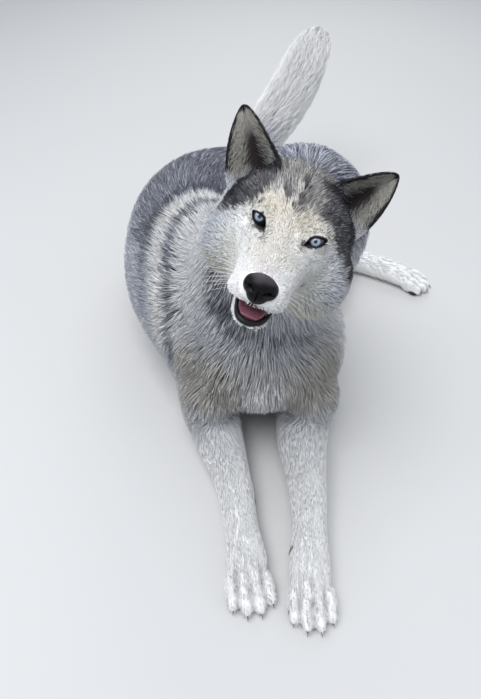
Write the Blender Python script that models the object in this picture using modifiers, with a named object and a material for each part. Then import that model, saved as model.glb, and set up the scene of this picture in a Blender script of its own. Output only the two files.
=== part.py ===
"""A Siberian husky, life size, lying on its chest with the hips rolled on to the right side.

The forelegs are stretched out in front, the head is lifted and leans to the dog's left, the mouth is a
little open and the tail is raised. Metres, +Z up. The dog looks along -Y, its left side is +X, and the
origin is where the breastbone rests on the floor.

The whole animal is first modelled as soft masses laid along the joints, fused into one smooth body and
cut flat where it lies. Thin cuts then part it into head, neck, torso, tail and legs. Lids, lips, ears,
nose, jaw and tongue are shaped on the head, and the long coat of ruff, chest and tail is laid as locks.
"""

import math

import bmesh
import bpy
import numpy as np
from mathutils import Matrix, Vector
from mathutils.bvhtree import BVHTree

# General sizes
CM = 0.01
GAP = 0.0003
CLEARANCE = 0.0005
TRUNK_VOXEL = 0.0060
BODY_VOXEL = 0.0030
HEAD_VOXEL = 0.0020
FINE_TRIANGLES = 8600
MEDIUM_TRIANGLES = 3300
COARSE_TRIANGLES = 1800
SEED = 11

# The head frame: its origin is between the eyes, x to the dog's left, y backwards, z up, in centimetres
EYE_MIDDLE = Vector((0.0195, -0.1645, 0.4795))
HEAD_LIFT = math.radians(-24.1)
HEAD_ROLL = math.radians(17.6)
HEAD_TURN = math.radians(-18.3)

EYE_APART = 3.15
EYE_DEPTH = 1.15
EYE_RADIUS = 1.12
LID_RADIUS = 1.36
LID_SLIT = (2.5, 1.25)
LID_SLANT = math.radians(26)
GAZE_AT = Vector((-0.03, -0.62, 0.80))
NOSE_AT = (0.0, -10.0, -3.15)
NOSE_RADII = (1.75, 1.15, 1.25)
NOSTRIL_AT = (0.82, -11.0, -3.25)
EARS = {
    "right": ((-4.1, 7.0, 5.1), (-8.6, 7.4, 0.4), (-10.4, 10.8, 8.0)),
    "left": ((3.2, 7.0, 5.6), (8.0, 7.4, 1.3), (8.9, 10.8, 8.4)),
}
EAR_DEPTH = 2.3
EAR_SINK = 1.6
EAR_THICKNESS = (0.50, 0.26)

SIDES = (("right", -1), ("left", 1))


def head_matrix():
    """Turns head coordinates in centimetres into the dog's frame in metres."""
    roll_and_lift = Matrix.Rotation(HEAD_ROLL, 4, "Y") @ Matrix.Rotation(HEAD_LIFT, 4, "X")
    turned = Matrix.Rotation(HEAD_TURN, 4, "Z") @ roll_and_lift
    return Matrix.Translation(EYE_MIDDLE) @ turned @ Matrix.Scale(CM, 4)


HEAD = head_matrix()


def head_point(x, y, z):
    """A place given in head coordinates, in the dog's frame."""
    return HEAD @ Vector((x, y, z))


# The joints and girths of the body, as rows of x, y, z, half width and half height
TORSO = [
    (0.000, -0.060, 0.158, 0.116, 0.090),
    (0.000, -0.042, 0.153, 0.136, 0.128),
    (-0.002, -0.014, 0.150, 0.147, 0.158),
    (-0.018, 0.030, 0.149, 0.151, 0.157),
    (-0.062, 0.092, 0.145, 0.149, 0.152),
    (-0.109, 0.165, 0.140, 0.138, 0.144),
    (-0.136, 0.250, 0.136, 0.123, 0.133),
    (-0.142, 0.335, 0.136, 0.112, 0.124),
    (-0.120, 0.415, 0.140, 0.098, 0.108),
    (-0.074, 0.478, 0.150, 0.076, 0.086),
    (-0.030, 0.520, 0.165, 0.046, 0.054),
]
WITHERS = [
    (0.002, 0.044, 0.290, 0.082, 0.064),
    (-0.030, 0.102, 0.253, 0.080, 0.060),
    (-0.078, 0.172, 0.222, 0.072, 0.052),
]
TAIL = [
    (-0.034, 0.505, 0.172, 0.036, 0.036),
    (0.004, 0.552, 0.200, 0.035, 0.035),
    (0.050, 0.600, 0.243, 0.037, 0.037),
    (0.090, 0.644, 0.288, 0.037, 0.037),
    (0.120, 0.688, 0.332, 0.032, 0.032),
    (0.140, 0.718, 0.357, 0.021, 0.021),
]
FORELEG = {
    "right": {
        "arm": [(-0.082, -0.052, 0.168, 0.052, 0.056), (-0.104, -0.015, 0.112, 0.054, 0.060),
                (-0.112, 0.022, 0.058, 0.046, 0.054)],
        "forearm": [(-0.112, 0.035, 0.048, 0.042, 0.050), (-0.092, -0.050, 0.048, 0.048, 0.052),
                    (-0.068, -0.125, 0.043, 0.043, 0.047), (-0.046, -0.195, 0.034, 0.031, 0.037),
                    (-0.038, -0.228, 0.032, 0.029, 0.035), (-0.029, -0.280, 0.028, 0.026, 0.030),
                    (-0.022, -0.325, 0.025, 0.030, 0.027), (-0.020, -0.352, 0.021, 0.030, 0.022)],
    },
    "left": {
        "arm": [(0.078, -0.052, 0.168, 0.052, 0.056), (0.094, -0.015, 0.112, 0.053, 0.060),
                (0.098, 0.022, 0.058, 0.045, 0.054)],
        "forearm": [(0.098, 0.035, 0.048, 0.042, 0.050), (0.086, -0.050, 0.048, 0.048, 0.052),
                    (0.072, -0.125, 0.043, 0.045, 0.047), (0.074, -0.195, 0.035, 0.033, 0.038),
                    (0.075, -0.228, 0.033, 0.030, 0.036), (0.073, -0.285, 0.028, 0.0265, 0.030),
                    (0.069, -0.340, 0.025, 0.030, 0.027), (0.068, -0.370, 0.021, 0.030, 0.022)],
    },
}
HIND_LEG = {
    "right": {
        "thigh": [(-0.150, 0.430, 0.105, 0.078, 0.088), (-0.178, 0.355, 0.090, 0.084, 0.092),
                  (-0.140, 0.270, 0.074, 0.070, 0.078), (-0.080, 0.215, 0.056, 0.048, 0.058)],
        "shank": [(-0.078, 0.215, 0.052, 0.044, 0.050), (-0.012, 0.295, 0.044, 0.037, 0.042),
                  (0.052, 0.362, 0.032, 0.028, 0.034)],
        "foot": [(0.055, 0.372, 0.030, 0.026, 0.032), (0.082, 0.330, 0.027, 0.0255, 0.028),
                 (0.112, 0.275, 0.025, 0.0255, 0.026), (0.130, 0.237, 0.021, 0.028, 0.022)],
    },
    "left": {
        "thigh": [(-0.040, 0.420, 0.160, 0.076, 0.090), (0.025, 0.345, 0.142, 0.078, 0.084),
                  (0.088, 0.272, 0.118, 0.064, 0.070), (0.128, 0.225, 0.090, 0.046, 0.050)],
        "shank": [(0.130, 0.222, 0.088, 0.042, 0.045), (0.168, 0.292, 0.062, 0.035, 0.038),
                  (0.202, 0.352, 0.034, 0.029, 0.034)],
        "foot": [(0.202, 0.366, 0.032, 0.027, 0.032), (0.250, 0.343, 0.028, 0.026, 0.029),
                 (0.300, 0.318, 0.026, 0.026, 0.027), (0.335, 0.300, 0.021, 0.028, 0.022)],
    },
}
# Each paw: where its knuckles are, where its longest toe ends, and its breadth
PAWS = {
    "forepaw_right": ((-0.021, -0.345, 0.020), (-0.010, -0.403, 0.0), 0.070),
    "forepaw_left": ((0.068, -0.362, 0.020), (0.070, -0.424, 0.0), 0.067),
    "hindpaw_right": ((0.131, 0.232, 0.019), (0.156, 0.180, 0.0), 0.058),
    "hindpaw_left": ((0.336, 0.299, 0.019), (0.386, 0.272, 0.0), 0.058),
}

# Each toe: its place across the paw and its length, as shares of the paw's breadth and reach
TOES = ((-0.37, 0.76), (-0.13, 0.98), (0.13, 1.0), (0.37, 0.79))
# The two masses of a toe: place along it, height, and radii as shares of reach and breadth, and in metres
TOE_MASSES = ((0.38, 0.0175, 0.34, 0.145, 0.0165), (0.76, 0.0125, 0.235, 0.145, 0.0135))

# Sections of the head from nose to nape in the head frame: y, half width, height of the widest line,
# and how far the section reaches above and below that line
HEAD_SECTIONS = [
    (-10.4, 1.60, -4.00, 1.20, 0.85),
    (-9.6, 2.25, -3.95, 1.70, 1.25),
    (-8.0, 2.70, -3.85, 2.00, 1.50),
    (-6.0, 2.90, -3.70, 2.25, 1.85),
    (-4.0, 3.10, -3.55, 2.40, 2.40),
    (-2.2, 3.45, -3.30, 2.50, 3.70),
    (-0.8, 4.00, -3.00, 2.95, 5.10),
    (0.6, 4.65, -2.85, 4.00, 6.00),
    (2.2, 5.60, -2.90, 5.75, 6.60),
    (4.2, 6.80, -3.10, 7.50, 6.90),
    (6.4, 7.80, -3.40, 8.85, 6.80),
    (8.8, 8.30, -3.50, 9.20, 6.40),
    (11.2, 8.10, -3.20, 8.60, 6.00),
    (13.6, 7.20, -2.70, 7.50, 5.20),
]
# Pairs of masses on the two sides of the head: brow, lip, cheek ruff
HEAD_PAIRS = [
    ((2.9, 2.5, 1.15), (2.0, 1.7, 1.05)),
    ((1.5, -8.0, -4.30), (1.45, 2.3, 1.20)),
    ((6.0, 6.9, -4.8), (4.2, 4.8, 4.6)),
]
# The lower jaw with the mouth a little open, tongue and the hollow of the mouth, as sections like the head's
JAW_SECTIONS = [
    (-9.0, 0.95, -7.20, 0.25, 0.30),
    (-8.3, 1.50, -7.10, 0.42, 0.62),
    (-6.6, 1.85, -6.90, 0.52, 0.90),
    (-4.6, 2.15, -6.60, 0.60, 1.20),
    (-2.8, 2.45, -6.30, 0.70, 1.55),
    (-1.0, 2.60, -6.10, 0.80, 1.70),
]
TONGUE_SECTIONS = [
    (-8.1, 0.65, -6.45, 0.12, 0.20),
    (-7.4, 1.15, -6.32, 0.22, 0.50),
    (-5.4, 1.35, -5.98, 0.26, 0.70),
    (-3.2, 1.40, -5.60, 0.25, 0.80),
    (-1.4, 1.30, -5.35, 0.20, 0.80),
]
# The lower lip from its left corner to the middle, as x, y, z, half width and half height in the head frame
LOWER_LIP = [
    (2.55, -1.2, -5.35, 0.26, 0.26),
    (2.42, -3.0, -5.70, 0.34, 0.32),
    (2.18, -5.0, -6.08, 0.37, 0.34),
    (1.88, -7.0, -6.48, 0.38, 0.34),
    (1.20, -8.65, -6.82, 0.36, 0.33),
    (0.0, -9.20, -6.95, 0.36, 0.33),
]
MOUTH_SECTIONS = [
    (-9.1, 0.80, -5.60, 0.55, 0.9),
    (-8.0, 1.50, -5.45, 0.85, 1.1),
    (-5.5, 1.85, -5.25, 0.85, 1.0),
    (-3.0, 2.10, -5.15, 0.80, 0.9),
    (-1.2, 1.70, -5.20, 0.60, 0.7),
]
NECK = [
    (0.4, 7.5, -2.2, 6.2, 6.2),
    (0.7, 11.0, -2.2, 7.7, 8.4),
    (1.2, 14.2, -1.9, 8.8, 9.7),
]
NECK_BASE = [(0.022, 0.000, 0.350, 0.090, 0.094), (0.004, 0.006, 0.290, 0.103, 0.108),
             (-0.004, 0.000, 0.215, 0.110, 0.116), (-0.004, -0.012, 0.160, 0.108, 0.112)]

# The finish of each node: what it is, its colour and its roughness
FINISHES = {
    "head": ("short_coat", "C9C4BA", 0.85),
    "lower_jaw": ("short_coat", "DAD5CB", 0.85),
    "lips": ("lips", "2E2A2A", 0.45),
    "tongue": ("tongue", "B87680", 0.40),
    "nose": ("nose_leather", "1D1A1B", 0.35),
    "eye_right": ("cornea", "A9C4D6", 0.08),
    "eye_left": ("cornea", "A9C4D6", 0.08),
    "ear_right": ("ear_coat", "5A5552", 0.85),
    "ear_left": ("ear_coat", "5A5552", 0.85),
    "neck": ("ruff", "B4B1AE", 0.90),
    "torso": ("coat", "9A9A9E", 0.90),
    "hips": ("coat", "9A9A9E", 0.90),
    "tail": ("tail_coat", "E4E2DF", 0.90),
    "foreleg_right": ("short_coat", "E6E2DA", 0.85),
    "foreleg_left": ("short_coat", "E6E2DA", 0.85),
    "hindleg_right": ("coat", "D2CFCB", 0.88),
    "hindleg_left": ("coat", "D2CFCB", 0.88),
}

# The long coat by zone: spacing of the roots, length, width, thickness and how far the tips stand off
COAT = {
    "ruff": (0.045, 0.084, 0.048, 0.0085, 0.021),
    "chest": (0.052, 0.076, 0.048, 0.0085, 0.015),
    "breech": (0.062, 0.070, 0.048, 0.0075, 0.012),
    "tail": (0.037, 0.090, 0.046, 0.0090, 0.031),
}

# Along a lock: share of its length, share of its width, of its thickness and of its lift
LOCK_STATIONS = (
    (0.0, 0.80, 1.0, 0.0),
    (0.34, 1.0, 1.0, 0.22),
    (0.70, 0.72, 0.75, 0.62),
    (1.0, 0.0, 0.0, 1.0),
)
ROOT_DEPTH = 0.005

# Where thin cuts part the body: a point on each cut and the way it faces
HEAD_CUT = ((0.0, 9.6, -2.0), (0.0, -0.866, 0.50))
NECK_CUT = ((0.0, 0.0, 0.272), (0.0, -0.59, 0.81))
TAIL_CUT = ((-0.012, 0.527, 0.186), (0.60, 0.68, 0.42))
HIP_CUT = ((-0.13, 0.26, 0.14), (-0.10, 0.99, 0.0))
SLEEVE = 0.005

# Claws: length, root radius, and the two dewclaws on the inner side of the wrists
CLAW_LENGTH = 0.013
CLAW_RADIUS = 0.0026
DEWCLAWS = {"right": ((-0.012, -0.236, 0.036), (0.55, -0.75, -0.35)),
            "left": ((0.045, -0.312, 0.029), (-0.45, -0.85, -0.25))}


def spline(rows, per_span=5):
    """Points on a smooth curve through the rows, each row of any width, by the Catmull-Rom formula."""
    rows = np.asarray(rows, float)
    ends = np.vstack([2 * rows[0] - rows[1], rows, 2 * rows[-1] - rows[-2]])
    found = []
    for i in range(len(rows) - 1):
        a, b, c, d = ends[i:i + 4]
        for t in np.arange(per_span) / per_span:
            found.append(0.5 * (2 * b + (c - a) * t + (2 * a - 5 * b + 4 * c - d) * t**2
                                + (3 * b - a - 3 * c + d) * t**3))
    found.append(rows[-1])
    return np.array(found)


def new_object(name, mesh, collection):
    """A new object of that mesh in the collection."""
    obj = bpy.data.objects.new(name, mesh)
    collection.objects.link(obj)
    return obj


def limb(name, rows, collection, sides=16, round_ends=4, per_span=5):
    """A closed tube through the rows, upright ellipses in section, with rounded ends."""
    path = spline(rows, per_span)
    centres, girths = path[:, :3], path[:, 3:5]
    along = np.gradient(centres, axis=0)
    along /= np.linalg.norm(along, axis=1)[:, None]
    up = np.array((0.0, 0.0, 1.0))
    across = np.cross(along, up)
    across /= np.linalg.norm(across, axis=1)[:, None]
    over = np.cross(across, along)
    turn = np.arange(sides) / sides * 2 * math.pi
    rings = []
    for cap, order in ((0, range(1, round_ends + 1)), (None, ()), (-1, range(round_ends, 0, -1))):
        if cap is None:
            for c, g, a, o in zip(centres, girths, across, over):
                rings.append(c + np.outer(np.cos(turn) * g[0], a) + np.outer(np.sin(turn) * g[1], o))
            continue
        for k in order:
            reach = math.cos(k / (round_ends + 1) * math.pi / 2)
            shrink = math.sin(k / (round_ends + 1) * math.pi / 2)
            away = along[cap] * (-1 if cap == 0 else 1) * reach * girths[cap].min()
            rings.append(centres[cap] + away + np.outer(np.cos(turn) * girths[cap][0] * shrink, across[cap])
                         + np.outer(np.sin(turn) * girths[cap][1] * shrink, over[cap]))
    return skin_rings(name, rings, collection)


def skin_rings(name, rings, collection):
    """A closed mesh through rings of equal count, with a fan of faces over each end."""
    mesh = bmesh.new()
    loops = [[mesh.verts.new(point) for point in ring] for ring in rings]
    for low, high in zip(loops, loops[1:]):
        for i in range(len(low)):
            j = (i + 1) % len(low)
            mesh.faces.new((low[i], low[j], high[j], high[i]))
    for loop in (loops[0], loops[-1]):
        middle = mesh.verts.new(sum((v.co for v in loop), Vector()) / len(loop))
        for i in range(len(loop)):
            mesh.faces.new((loop[i], loop[(i + 1) % len(loop)], middle))
    bmesh.ops.recalc_face_normals(mesh, faces=mesh.faces)
    data = bpy.data.meshes.new(name)
    mesh.to_mesh(data)
    mesh.free()
    return new_object(name, data, collection)


def skin_spike(name, rings, tip, collection):
    """A closed mesh through rings of four that ends in one point."""
    mesh = bmesh.new()
    loops = [[mesh.verts.new(point) for point in ring] for ring in rings]
    end = mesh.verts.new(tip)
    mesh.faces.new(loops[0])
    for low, high in zip(loops, loops[1:]):
        for i in range(4):
            mesh.faces.new((low[i], low[(i + 1) % 4], high[(i + 1) % 4], high[i]))
    for i in range(4):
        mesh.faces.new((loops[-1][i], loops[-1][(i + 1) % 4], end))
    bmesh.ops.recalc_face_normals(mesh, faces=mesh.faces)
    bmesh.ops.triangulate(mesh, faces=mesh.faces)
    data = bpy.data.meshes.new(name)
    mesh.to_mesh(data)
    mesh.free()
    return new_object(name, data, collection)


def egg(name, centre, radii, collection, matrix=None, segments=20):
    """An ellipsoid at centre, with its radii along the axes of the matrix that carries it."""
    mesh = bmesh.new()
    bmesh.ops.create_uvsphere(mesh, u_segments=segments, v_segments=segments // 2 + 2, radius=1.0)
    place = (matrix or Matrix()) @ Matrix.Translation(centre) @ Matrix.Diagonal((*radii, 1.0))
    bmesh.ops.transform(mesh, matrix=place, verts=mesh.verts)
    data = bpy.data.meshes.new(name)
    mesh.to_mesh(data)
    mesh.free()
    return new_object(name, data, collection)


def sections(name, rows, collection, matrix=HEAD, sides=20, per_span=3, square=2.3):
    """A closed form through upright sections along y, each a rounded box about its widest line.

    The power square says how boxy a section is: 2 is an ellipse, and more is squarer.
    """
    path = spline(rows, per_span)
    turn = np.arange(sides) / sides * 2 * math.pi
    cos = np.sign(np.cos(turn)) * np.abs(np.cos(turn)) ** (2 / square)
    sin = np.sign(np.sin(turn)) * np.abs(np.sin(turn)) ** (2 / square)
    rings = []
    for y, width, middle, up, down in path:
        tall = np.where(sin > 0, up, down)
        ring = np.column_stack([cos * width, np.full(sides, y), middle + sin * tall])
        rings.append([matrix @ Vector(point) for point in ring])
    return skin_rings(name, rings, collection)


def evaluated_mesh(obj, name):
    """The object's mesh with its modifiers applied and its place taken into the points."""
    graph = bpy.context.evaluated_depsgraph_get()
    mesh = bpy.data.meshes.new_from_object(obj.evaluated_get(graph))
    mesh.transform(obj.matrix_world)
    mesh.name = name
    return mesh


def settle(obj):
    """Applies the object's modifiers."""
    bpy.context.view_layer.update()
    mesh = evaluated_mesh(obj, obj.name)
    old = obj.data
    obj.modifiers.clear()
    obj.matrix_world = Matrix()
    obj.data = mesh
    bpy.data.meshes.remove(old)
    return obj


def remove(obj):
    """Deletes an object and its mesh."""
    mesh = obj.data
    bpy.data.objects.remove(obj)
    bpy.data.meshes.remove(mesh)


def joined(name, objects, collection):
    """One object that holds copies of the meshes of all of them, which are then removed."""
    whole = bmesh.new()
    for obj in objects:
        whole.from_mesh(obj.data)
        remove(obj)
    mesh = bpy.data.meshes.new(name)
    whole.to_mesh(mesh)
    whole.free()
    return new_object(name, mesh, collection)


def fuse(name, objects, collection, voxel, smoothing):
    """Melts overlapping masses into one smooth closed skin."""
    obj = joined(name, objects, collection)
    remesh = obj.modifiers.new("fuse", "REMESH")
    remesh.mode = "VOXEL"
    remesh.voxel_size = voxel
    remesh.adaptivity = 0.0
    smooth = obj.modifiers.new("soften", "SMOOTH")
    smooth.factor = 0.5
    smooth.iterations = smoothing
    settle(obj)
    triangulate = obj.modifiers.new("triangles", "TRIANGULATE")
    triangulate.min_vertices = 4
    return settle(obj)


def thinned(name, obj, triangles, collection):
    """A copy of the solid with about that many triangles."""
    copy = new_object(name, obj.data.copy(), collection)
    thin = copy.modifiers.new("thin", "DECIMATE")
    thin.ratio = min(1.0, triangles / len(obj.data.polygons))
    return settle(copy)


def grown(obj, collection, by=GAP):
    """A copy of the solid with its surface moved out a little, for cutting its neighbour clear of it."""
    copy = new_object(obj.name + "_clearance", obj.data.copy(), collection)
    swell = copy.modifiers.new("swell", "DISPLACE")
    swell.strength = by
    swell.mid_level = 0.0
    return settle(copy)


def largest_body(obj):
    """Keeps only the largest closed surface of a mesh."""
    mesh = bmesh.new()
    mesh.from_mesh(obj.data)
    unseen = set(mesh.verts)
    bodies = []
    while unseen:
        front = [unseen.pop()]
        body = set(front)
        while front:
            vert = front.pop()
            for edge in vert.link_edges:
                other = edge.other_vert(vert)
                if other in unseen:
                    unseen.discard(other)
                    body.add(other)
                    front.append(other)
        bodies.append(body)

    def volume(body):
        faces = {face for vert in body for face in vert.link_faces}
        return abs(sum(face.calc_center_median().dot(face.normal) * face.calc_area() for face in faces))

    bodies.sort(key=volume)
    for body in bodies[:-1]:
        bmesh.ops.delete(mesh, geom=list(body), context="VERTS")
    mesh.to_mesh(obj.data)
    mesh.free()
    return obj


def boolean(obj, operation, other, solver="MANIFOLD"):
    """Cuts or joins obj with another solid, and removes the other one."""
    change = obj.modifiers.new(operation.lower(), "BOOLEAN")
    change.operation = operation
    change.solver = solver
    change.object = other
    settle(obj)
    remove(other)
    return obj


def cut_clear(obj, neighbour, collection, by=GAP):
    """Cuts obj back from its neighbour by a thin gap, and from the neighbour where a fold closes it."""
    boolean(obj, "DIFFERENCE", grown(neighbour, collection, by))
    boolean(obj, "DIFFERENCE", new_object("neighbour", neighbour.data.copy(), collection))
    return largest_body(obj)


def part_off(name, source, bodies, region, collection):
    """What the source has inside the region becomes a node, and all the bodies lose it with a thin gap."""
    node = new_object(name, source.data.copy(), collection)
    for body in bodies:
        cut_clear(body, region, collection, CLEARANCE)
    boolean(node, "INTERSECT", region)
    return largest_body(node)


def half_space(name, point, direction, radius, length, collection):
    """A drum that starts at the point and reaches along the direction, to part off all that lies beyond."""
    mesh = bmesh.new()
    bmesh.ops.create_cone(mesh, cap_ends=True, segments=40, radius1=radius, radius2=radius, depth=length)
    turn = Vector(direction).to_track_quat("Z", "Y").to_matrix().to_4x4()
    shift = Matrix.Translation(Vector((0, 0, length / 2)))
    bmesh.ops.transform(mesh, matrix=Matrix.Translation(Vector(point)) @ turn @ shift, verts=mesh.verts)
    data = bpy.data.meshes.new(name)
    mesh.to_mesh(data)
    mesh.free()
    return new_object(name, data, collection)


def widened(rows, by):
    """The rows with both half sizes larger by that much."""
    return [(x, y, z, w + by, h + by) for x, y, z, w, h in rows]


def from_head(rows):
    """Rows in the head frame as rows in the dog's frame."""
    return [(*head_point(x, y, z), w * CM, h * CM) for x, y, z, w, h in rows]


def paw_masses(name, collection, grow=0.0):
    """The four toes of a paw as eggs, the middle two longest, and the pad that they share."""
    knuckles, tip, breadth = PAWS[name]
    knuckles, tip = Vector(knuckles), Vector(tip)
    along = tip - knuckles
    along.z = 0.0
    reach = along.length
    along.normalize()
    across = Vector((0, 0, 1)).cross(along)
    made = [egg(name + "_pad", knuckles + along * 0.10 * reach - Vector((0, 0, 0.004)),
                (breadth * 0.44 + grow, reach * 0.42 + grow, 0.017 + grow), collection, segments=16)]
    for side, length in TOES:
        turn = Matrix.Rotation(math.atan2(along.y, along.x) + side * 0.55, 4, "Z")
        for share, high, long, wide, tall in TOE_MASSES:
            centre = knuckles + along * length * share * reach + across * side * breadth
            centre.z = high
            radii = (reach * long + grow, breadth * wide + grow, tall + grow)
            place = Matrix.Translation(centre) @ turn
            made.append(egg(name + "_toe", (0, 0, 0), radii, collection, place, 14))
    return made


def leg_masses(kind, side, collection, grow=0.0):
    """The tubes of one leg from its top down, and its paw."""
    sizes = FORELEG[side] if kind == "fore" else HIND_LEG[side]
    made = []
    for part, rows in sizes.items():
        made.append(limb(f"{kind}_{side}_{part}", widened(rows, grow), collection, 14))
    return made + paw_masses(f"{kind}paw_{side}", collection, grow)


def head_masses(collection):
    """The skull from nose to nape, with brows, lips and cheeks."""
    made = [sections("skull", HEAD_SECTIONS, collection, sides=28)]
    for (x, y, z), radii in HEAD_PAIRS:
        made += [egg("cheek", (side * x, y, z), radii, collection, HEAD) for _, side in SIDES]
    return made


def neck_masses(collection):
    """The neck from the skull down into the chest."""
    return [limb("neck_mass", from_head(NECK) + NECK_BASE, collection)]


def torso_masses(collection):
    """Chest, belly and rump as one tube, with the withers on top."""
    made = [limb("trunk", TORSO, collection, 24)]
    made += [egg("withers", (x, y, z), (w, w * 1.25, h), collection) for x, y, z, w, h in WITHERS]
    return made


def whole_body(collection):
    """The dog without ears as one skin: the trunk softened most, then the head, then legs and tail."""
    masses = torso_masses(collection) + neck_masses(collection)
    for side, _ in SIDES:
        masses.append(limb("arm", FORELEG[side]["arm"], collection, 14))
        masses.append(limb("thigh", HIND_LEG[side]["thigh"], collection, 14))
    trunk = fuse("trunk", masses, collection, TRUNK_VOXEL, 28)
    head = fuse("head_mass", head_masses(collection), collection, HEAD_VOXEL, 24)
    masses = [trunk, head, limb("tail_core", TAIL, collection, 12)]
    for side, _ in SIDES:
        masses += leg_masses("fore", side, collection)
        masses += leg_masses("hind", side, collection)
    return fuse("body", masses, collection, BODY_VOXEL, 6)


def cut_floor(body, collection):
    """Everything under the floor is cut away, which leaves the flats that the dog lies on."""
    mesh = bmesh.new()
    bmesh.ops.create_cube(mesh, size=2.0)
    bmesh.ops.transform(mesh, matrix=Matrix.Translation((0, 0, -1.0)), verts=mesh.verts)
    data = bpy.data.meshes.new("under_floor")
    mesh.to_mesh(data)
    mesh.free()
    boolean(body, "DIFFERENCE", new_object("under_floor", data, collection))


def eye_place(side):
    """The middle of the eye on that side."""
    return head_point(side * EYE_APART, EYE_DEPTH, 0.0)


def eyeball(name, side, collection, by=0.0):
    """The eye turned to where the dog looks, with its cornea a little proud."""
    centre = eye_place(side)
    look = (GAZE_AT - centre).to_track_quat("Z", "Y").to_matrix().to_4x4()
    place = Matrix.Translation(centre) @ look @ Matrix.Scale(CM, 4)
    return egg(name, (0, 0, 0), (EYE_RADIUS + by,) * 3, collection, place, 12)


def lid_slit(name, side, collection):
    """The almond between the lids as a long prism, its outer corner raised by the slant."""
    wide, high = LID_SLIT
    turn = np.arange(16) / 16 * 2 * math.pi
    x = np.cos(turn) * wide / 2
    z = np.sign(np.sin(turn)) * np.abs(np.sin(turn)) ** 1.35 * high / 2
    z = z + 0.10 * high * np.cos(turn) * -1.0
    rings = []
    for y, spread in ((-3.0, 1.25), (-0.2, 1.0), (0.9, 0.86)):
        ring = []
        for a, b in zip(x * spread, z * spread):
            across = a * math.cos(LID_SLANT) - b * math.sin(LID_SLANT)
            above = a * math.sin(LID_SLANT) + b * math.cos(LID_SLANT)
            ring.append(HEAD @ Vector((side * (EYE_APART + across), y, above)))
        rings.append(ring)
    return skin_rings(name, rings, collection)


def add_lids(head, collection):
    """Lids as shells over the eyes, each with its almond opening and the hollow that the eye sits in."""
    for name, side in SIDES:
        place = HEAD @ Matrix.Translation((side * EYE_APART, EYE_DEPTH, 0.0))
        boolean(head, "UNION", egg("lids_" + name, (0, 0, 0), (LID_RADIUS,) * 3, collection, place, 20))
        boolean(head, "DIFFERENCE", lid_slit("slit_" + name, side, collection))
        boolean(head, "DIFFERENCE", eyeball("socket_" + name, side, collection, by=GAP / CM))


def ear_shell(name, side_name, side, collection):
    """An ear as a cupped leaf: a chord at its root that narrows to the tip, bowed back between its rims."""
    inner, outer, tip = (Vector(point) for point in EARS[side_name])
    root = (inner + outer) / 2
    up = tip - root
    chord = (outer - inner) / 2
    back = up.cross(chord).normalized() * side
    outline = []
    shares = (-EAR_SINK / up.length, 0.0, 0.20, 0.40, 0.58, 0.75, 0.89, 1.0)
    across = np.linspace(-1, 1, 9)
    for share in shares:
        left = max(0.0, 1.0 - max(share, 0.0))
        narrow = 0.07 + 0.93 * left ** 0.66
        bulge = 0.9 * left * (1.0 - left)
        thick = EAR_THICKNESS[0] + (EAR_THICKNESS[1] - EAR_THICKNESS[0]) * max(share, 0.0)
        front, rear = [], []
        for u in across:
            bow = (1 - u * u) * EAR_DEPTH * narrow ** 1.3
            base = root + up * share + chord * (u * narrow + max(u, 0.0) ** 2 * bulge) + back * bow
            rim = 0.45 + 0.55 * (1 - u ** 4)
            front.append(HEAD @ base)
            rear.append(HEAD @ (base + back * thick * rim))
        outline.append(front + rear[::-1])
    return skin_rings(name, outline, collection)


def nose_masses(collection):
    """The nose as four eggs: its top, its front below, and a wing on each side."""
    x, y, z = NOSE_AT
    a, b, c = NOSE_RADII
    made = [egg("nose_upper", (x, y - 0.1, z + 0.25), (a * 0.88, b, c * 0.72), collection, HEAD, 18),
            egg("nose_lower", (x, y - 0.15, z - 0.48), (a * 0.64, b * 0.93, c * 0.86), collection, HEAD, 18)]
    for _, side in SIDES:
        wing = (side * a * 0.52, y + 0.05, z - 0.02)
        made.append(egg("nose_wing", wing, (a * 0.46, b * 0.88, c * 0.66), collection, HEAD, 16))
    return made


def make_nose(collection):
    """The nose leather, with a comma-shaped pit for each nostril."""
    mass = fuse("nose_mass", nose_masses(collection), collection, 0.0011, 4)
    nose = thinned("nose", mass, 220, collection)
    remove(mass)
    x, y, z = NOSTRIL_AT
    for _, side in SIDES:
        tilt = Matrix.Rotation(side * math.radians(-28), 4, "Y")
        place = HEAD @ Matrix.Translation((side * x, y, z)) @ tilt
        boolean(nose, "DIFFERENCE", egg("nostril", (0, 0, 0), (0.42, 0.75, 0.27), collection, place, 8))
    return nose


def axis_flow(rows):
    """The lie of the coat along a limb: the direction of the nearest span of its axis."""
    points = [Vector(row[:3]) for row in rows]

    def flow(place):
        spans = sorted(range(len(points) - 1), key=lambda i: (place - (points[i] + points[i + 1]) / 2).length)
        i = spans[0]
        return (points[i + 1] - points[i]).normalized()

    return flow


def flow_ruff(place):
    """Down the neck, and out to the sides of the chest."""
    return Vector((0.25 * math.copysign(min(abs(place.x) / 0.08, 1.0), place.x), 0.32, -0.86))


def flow_chest(place):
    """Down the chest and a little outwards."""
    return Vector((0.15 * math.copysign(1.0, place.x), 0.25, -1.0))


def flow_breech(place):
    """Down and back over the buttocks."""
    return Vector((0.15, 0.55, -0.65))


FLOWS = {"ruff": flow_ruff, "chest": flow_chest, "breech": flow_breech, "tail": axis_flow(TAIL)}


def beyond(cut, place):
    """How far a place lies past a cut, towards the side that the cut faces."""
    return (place - Vector(cut[0])).dot(Vector(cut[1]).normalized())


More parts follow.
